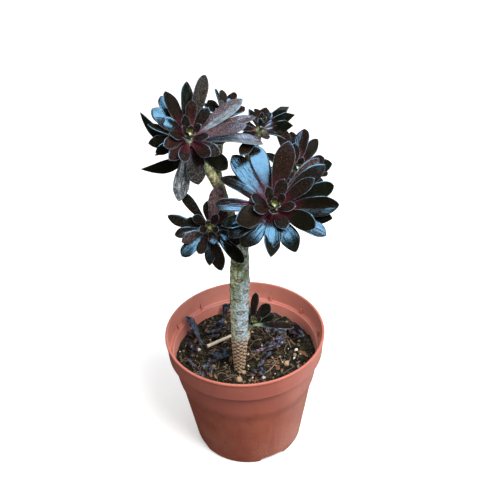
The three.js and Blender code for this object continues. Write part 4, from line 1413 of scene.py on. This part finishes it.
def on_soil(rng, edge=2.0):
    """A random place on the soil, clear of the trunk."""
    while True:
        radius = (wall_radius(SOIL["top"]) - edge) * math.sqrt(rng.uniform())
        turn = rng.uniform(0, 2 * math.pi)
        x, y = radius * math.cos(turn), radius * math.sin(turn)
        if math.hypot(x - TRUNK["path"][1][0], y - TRUNK["path"][1][1]) > CLEAR_OF_TRUNK:
            return x, y


def lumpy(points, rng, height, size, seed):
    """How far out the lumps of one grain go at each point, as a factor."""
    return (1 + height * noise(points + rng.uniform(0, SHIFT, 3), size, seed))[:, None]


def grain(x, y, size, level, rng, sunk=GRAIN["sunk"]):
    """One irregular grain that lies on the soil."""
    points, faces = ball(level)
    stretch = rng.uniform(*GRAIN["stretch"], 3)
    points = (points * lumpy(points, rng, *GRAIN["lumps"]) * stretch * size) @ random_turn(rng)
    return points + on_top(x, y, size * (0.5 - sunk)), faces


def crumbs(material):
    """Loose crumbs over the whole bed, most of them small."""
    rng = np.random.default_rng(CRUMBS["seed"])
    parts = Parts("tint")
    for _ in range(CRUMBS["count"]):
        x, y = on_soil(rng, CRUMBS["edge"])
        size = CRUMBS["least"] + CRUMBS["more"] * rng.uniform() ** CRUMBS["small"]
        level = 2 if size > CRUMBS["fine"] else 1
        parts.add(*grain(x, y, size, level, rng, CRUMBS["sunk"]), tint=rng.uniform() ** CRUMBS["dark"])
    return parts.build("soil_crumbs", (material,))


def scattered(name, placed, extra, sizes, seed, material):
    """Grains at given places, and more at random ones."""
    rng = np.random.default_rng(seed)
    parts = Parts()
    for x, y, size in placed:
        parts.add(*grain(x, y, size, GRAIN["placed_level"], rng))
    for _ in range(extra):
        x, y = on_soil(rng)
        parts.add(*grain(x, y, rng.uniform(*sizes), GRAIN["level"], rng))
    return parts.build(name, (material,))


def bark_chips(material):
    """Flat reddish bark chips."""
    rng = np.random.default_rng(CHIPS["seed"])
    parts = Parts("tint")
    places = [(*on_soil(rng, CHIPS["edge"]), rng.uniform(*CHIPS["size"])) for _ in range(CHIPS["count"])]
    for x, y, size in (CHIPS["largest"], *places):
        points, faces = ball(2)
        box = np.sign(points) * np.abs(points) ** CHIPS["square"]
        shape = box * (size, size * rng.uniform(*CHIPS["width"]), size * rng.uniform(*CHIPS["thickness"]))
        shape = shape * lumpy(points, rng, *CHIPS["lumps"])
        tilt, turn = rng.uniform(-CHIPS["tilt"], CHIPS["tilt"]), rng.uniform(0, 2 * math.pi)
        spin = Matrix.Identity(3)
        for angle, axis in ((turn, "Z"), (tilt, "X"), (tilt * CHIPS["roll"], "Y")):
            spin = spin @ Matrix.Rotation(angle, 3, axis)
        parts.add(shape @ np.array(spin).T + on_top(x, y, CHIPS["above"]), faces, tint=rng.uniform())
    return parts.build("bark_chips", (material,))


def root_line(rng):
    """The places along one fine root that wanders over the soil."""
    line = [on_soil(rng, ROOTS["edge"])]
    heading, turn = rng.uniform(0, 2 * math.pi), rng.uniform(-ROOTS["bend"], ROOTS["bend"])
    for _ in range(int(rng.integers(*ROOTS["strides"]))):
        heading += turn + rng.uniform(-ROOTS["wander"], ROOTS["wander"])
        x, y = line[-1]
        line.append((x + ROOTS["stride"] * math.cos(heading), y + ROOTS["stride"] * math.sin(heading)))
    return line


def roots(material):
    """Fine dead roots that lie curved on the soil."""
    rng = np.random.default_rng(ROOTS["seed"])
    parts = Parts()
    lines = [*LARGE_ROOTS["lines"], *(root_line(rng) for _ in range(ROOTS["count"]))]
    reach, points = ROOTS["smoothing"], ROOTS["points"]
    window = np.ones(2 * reach + 1) / (2 * reach + 1)
    for k, line in enumerate(lines):
        flat = catmull_rom([(x, y, 0) for x, y in line], points * len(line))
        inside = np.hypot(flat[:, 0], flat[:, 1]) < wall_radius(SOIL["top"]) - 1
        flat = flat[: len(flat) if inside.all() else int(inside.argmin())]
        if len(flat) < points:
            continue
        heights = crumbled_height(flat[:, 0], flat[:, 1])
        smooth = np.convolve(np.pad(heights, reach, "edge"), window, "valid")
        hump = LARGE_ROOTS["hump"] if k == 0 else rng.uniform(*ROOTS["hump"])
        flat[:, 2] = smooth + ROOTS["above"] + hump * np.sin(np.linspace(0, np.pi, len(flat)))
        size = LARGE_ROOTS["size"] if k < len(LARGE_ROOTS["lines"]) else rng.uniform(*ROOTS["size"])
        parts.add(*tube(flat, size * (1 - ROOTS["taper"] * np.linspace(0, 1, len(flat))), ROOTS["sides"]))
    return parts.build("root_fibres", (material,))


def rest_on_soil(points):
    """Lower a piece until it lies on the soil."""
    over = points[:, 2] - soil_height(points[:, 0], points[:, 1])
    return points - (0, 0, over.min() - LYING_ABOVE)


def dried_rib(x, y, heading, length, pitch, curl, sweep, roll):
    """A function that gives the points and directions along a curled leaf lying on the soil."""
    steps = 96
    s = np.linspace(0, 1, steps + 1)

    def direction(share):
        turn, slope = np.radians(heading + sweep * share), np.radians(pitch + curl * share)
        return np.column_stack([np.cos(turn) * np.cos(slope), np.sin(turn) * np.cos(slope), np.sin(slope)])

    line = np.vstack([[0, 0, 0], np.cumsum(direction(s[1:]) * length / steps, axis=0)]) + (x, y, SOIL["top"])

    def rib(share):
        along = direction(share)
        level = unit(np.cross((0, 0, 1), along))
        twist = (math.radians(roll) * np.sin(np.pi * share))[:, None]
        side = level * np.cos(twist) + np.cross(along, level) * np.sin(twist)
        return at_length(share, s, line), along, np.cross(along, side), side

    return rib


def dried_leaf(k, row, material):
    """One fallen leaf, curled and wrinkled."""
    rng = np.random.default_rng(DRIED["seed"] + k)
    shape = dict(row)
    width = shape.pop("width") * DRIED["spread"]
    points, faces, values, _, _ = blade(dried_rib(**shape), row["length"], width, rng, **DRIED["form"])
    parts = Parts(*LEAF_VALUES)
    parts.add(rest_on_soil(points), faces, **values, tint=rng.uniform())
    return parts.build(f"fallen_leaf_{k + 1}", (material,), (f"dried_leaf_{k + 1}",))


def scraps(material):
    """Small torn pieces of dried leaf."""
    rng = np.random.default_rng(SCRAPS["seed"])
    parts = Parts(*LEAF_VALUES)
    for x, y in SCRAPS["places"]:
        length = rng.uniform(*SCRAPS["length"])
        heading = rng.uniform(0, 360)
        pitch, curl, sweep, roll = (rng.uniform(*reach) for reach in SCRAPS["bends"])
        rib = dried_rib(x, y, heading, length, pitch, curl, sweep, roll)
        width = rng.uniform(*SCRAPS["width"])
        points, faces, values, _, _ = blade(rib, length, width, rng, **SCRAPS["form"])
        parts.add(rest_on_soil(points), faces, **values, tint=rng.uniform(*SCRAPS["tint"]))
    return parts.build("leaf_scraps", (material,))


def twig_piece(material):
    """A short stick with a square-cut end, lying on the soil."""
    skin = TWIG_SKIN
    place = np.linspace(0, 1, skin["points"])
    start, end = (np.array((*TWIG[name], 0)) for name in ("start", "end"))
    uneven = 1
    for height, rate, phase in skin["waves"]:
        uneven = uneven + height * np.sin(rate * place + phase)
    radii = TWIG["radius"] * (1 - skin["taper"] * place) * uneven
    points, faces = tube(lerp(start, end, place[:, None]), radii, skin["sides"])
    height, size, seed = skin["lumps"]
    parts = Parts()
    parts.add(rest_on_soil(points + height * noise(points, size, seed)[:, None]), faces)
    piece = parts.build("cut_twig", (material,), ("twig",))
    piece.data.set_sharp_from_angle(angle=math.radians(skin["sharp"]))
    return piece


# Camera, floor and light

# Lengths here are in metres, apart from the camera's place
WHITE = (1, 1, 1)
FLOOR = dict(half=9, paint=(0.86, 0.86, 0.86), glow=0.25)
DOME_RADIUS = 5
DARK_SKY = (0.012, 0.014, 0.016)
# What reflections show: the way to each patch, the cosines between which it fades in, and its light
SKY = dict(towards=(0.21, -0.14, 0.97), edge=(0.905, 0.945), light=(6.21, 14.49, 23.0))
GROUND = dict(towards=(0.95, 0.1, -0.4), edge=(0.6, 1.0), light=(2.6, 2.47, 2.392))
WORLD_LIGHT = dict(start=-0.1, low=0.25, high=1.1)
KEY_LIGHT = dict(place=(0.60, -0.60, 1.35), aim=(0, 0, 0.15), size=0.9, power=34, colour=(1.0, 0.97, 0.94))


def camera():
    lens = bpy.data.cameras.new("camera")
    lens.lens, lens.sensor_width = CAMERA["lens"], CAMERA["sensor"]
    lens.clip_start, lens.clip_end = CAMERA["clip"]
    stand = Matrix.Translation([c * MM for c in CAMERA["at"]])
    for name, axis in (("turn", "Z"), ("tilt", "X"), ("roll", "Z")):
        stand = stand @ Matrix.Rotation(math.radians(CAMERA[name]), 4, axis)
    eye = add_object("camera", lens)
    eye.matrix_world = stand
    bpy.context.scene.camera = eye


def floor():
    """A wide pale floor that reflections don't show."""
    half = FLOOR["half"]
    mesh = bpy.data.meshes.new("floor")
    corners = [(x * half, y * half, 0) for x, y in ((-1, -1), (1, -1), (1, 1), (-1, 1))]
    mesh.from_pydata(corners, [], [(0, 1, 2, 3)])
    ground = add_object("floor", mesh)
    s = Shader("floor_paint", Base_Color=FLOOR["paint"], Roughness=0.9, Specular_IOR_Level=0.1)
    mesh.materials.append(s.finish(Emission_Color=WHITE, Emission_Strength=FLOOR["glow"]))
    ground.visible_glossy = False
    ground.visible_diffuse = False


def reflections():
    """A dome that only reflections show: blue sky overhead, bright ground to the right, dark elsewhere."""
    work = bmesh.new()
    bmesh.ops.create_icosphere(work, subdivisions=4, radius=DOME_RADIUS)
    mesh = bpy.data.meshes.new("reflection_dome")
    work.to_mesh(mesh)
    work.free()
    dome = add_object("reflection_dome", mesh)
    for ray in ("camera", "diffuse", "transmission", "volume_scatter", "shadow"):
        setattr(dome, f"visible_{ray}", False)
    s = Shader("reflection_sky")
    where = s.place((1 / DOME_RADIUS,) * 3)
    glow = DARK_SKY
    for patch in (SKY, GROUND):
        near = s.dot(where, tuple(unit(patch["towards"])))
        glow = s.mix(s.span(near, *patch["edge"]), glow, patch["light"])
    light = s.node("Emission", 0, {"Color": glow})
    s.give(s.nodes["Material Output"].inputs["Surface"], light)
    s.material.cycles.emission_sampling = "NONE"
    mesh.materials.append(s.material)


def soft_light(name, place, aim, size, power, colour):
    """A large soft lamp that lights surfaces without showing in reflections."""
    lamp = bpy.data.lights.new(name, "AREA")
    lamp.shape = "DISK"
    lamp.size = size
    lamp.energy = power
    lamp.color = colour
    light = add_object(name, lamp)
    back = unit(np.array(place, float) - np.array(aim, float))
    right = unit(np.cross((0, 0, 1), back))
    turn = Matrix(np.column_stack([right, np.cross(back, right), back]).tolist()).to_4x4()
    light.matrix_world = Matrix.Translation(place) @ turn
    light.visible_glossy = False


def world(start, low, high):
    """White light all round, brighter from above."""
    studio = bpy.data.worlds.new("studio")
    bpy.context.scene.world = studio
    studio.use_nodes = True
    nodes, links = studio.node_tree.nodes, studio.node_tree.links
    where = nodes.new("ShaderNodeSeparateXYZ")
    rise = nodes.new("ShaderNodeMapRange")
    for name, number in (("From Min", start), ("To Min", low), ("To Max", high)):
        rise.inputs[name].default_value = number
    links.new(nodes.new("ShaderNodeTexCoord").outputs["Generated"], where.inputs[0])
    links.new(where.outputs["Z"], rise.inputs["Value"])
    links.new(rise.outputs["Result"], nodes["Background"].inputs["Strength"])
    nodes["Background"].inputs["Color"].default_value = (*WHITE, 1)


bpy.context.scene.view_settings.view_transform = "Standard"
camera()
world(**WORLD_LIGHT)
floor()
reflections()
soft_light("key", **KEY_LIGHT)

bark = bark_material()
leaf_skin = leaf_material()
dried_skin = dried_leaf_material()
perlite_skin = stone_material("perlite_grain", (0.62, 0.58, 0.48), (0.85, 0.83, 0.76))
pebble_skin = stone_material("pebble_stone", (0.28, 0.18, 0.10), (0.50, 0.36, 0.22))
for number, name in enumerate(HEADS):
    rosette(name, leaf_skin, bark, LEAF_SEEDS + number)
stem_piece(bark)
pot_piece(pot_material())
soil_piece(soil_material())
crumbs(crumb_material())
scattered("perlite", **PERLITE, material=perlite_skin)
scattered("pebbles", **PEBBLES, material=pebble_skin)
bark_chips(fibre_material("bark_chip", (0.09, 0.038, 0.018), (0.26, 0.115, 0.055)))
roots(fibre_material("root_skin", (0.13, 0.070, 0.045), (0.36, 0.24, 0.17)))
for number, row in enumerate(LITTER):
    dried_leaf(number, row, dried_skin)
scraps(dried_skin)
twig_piece(fibre_material("twig_bark", (0.50, 0.42, 0.30), (0.88, 0.80, 0.66)))
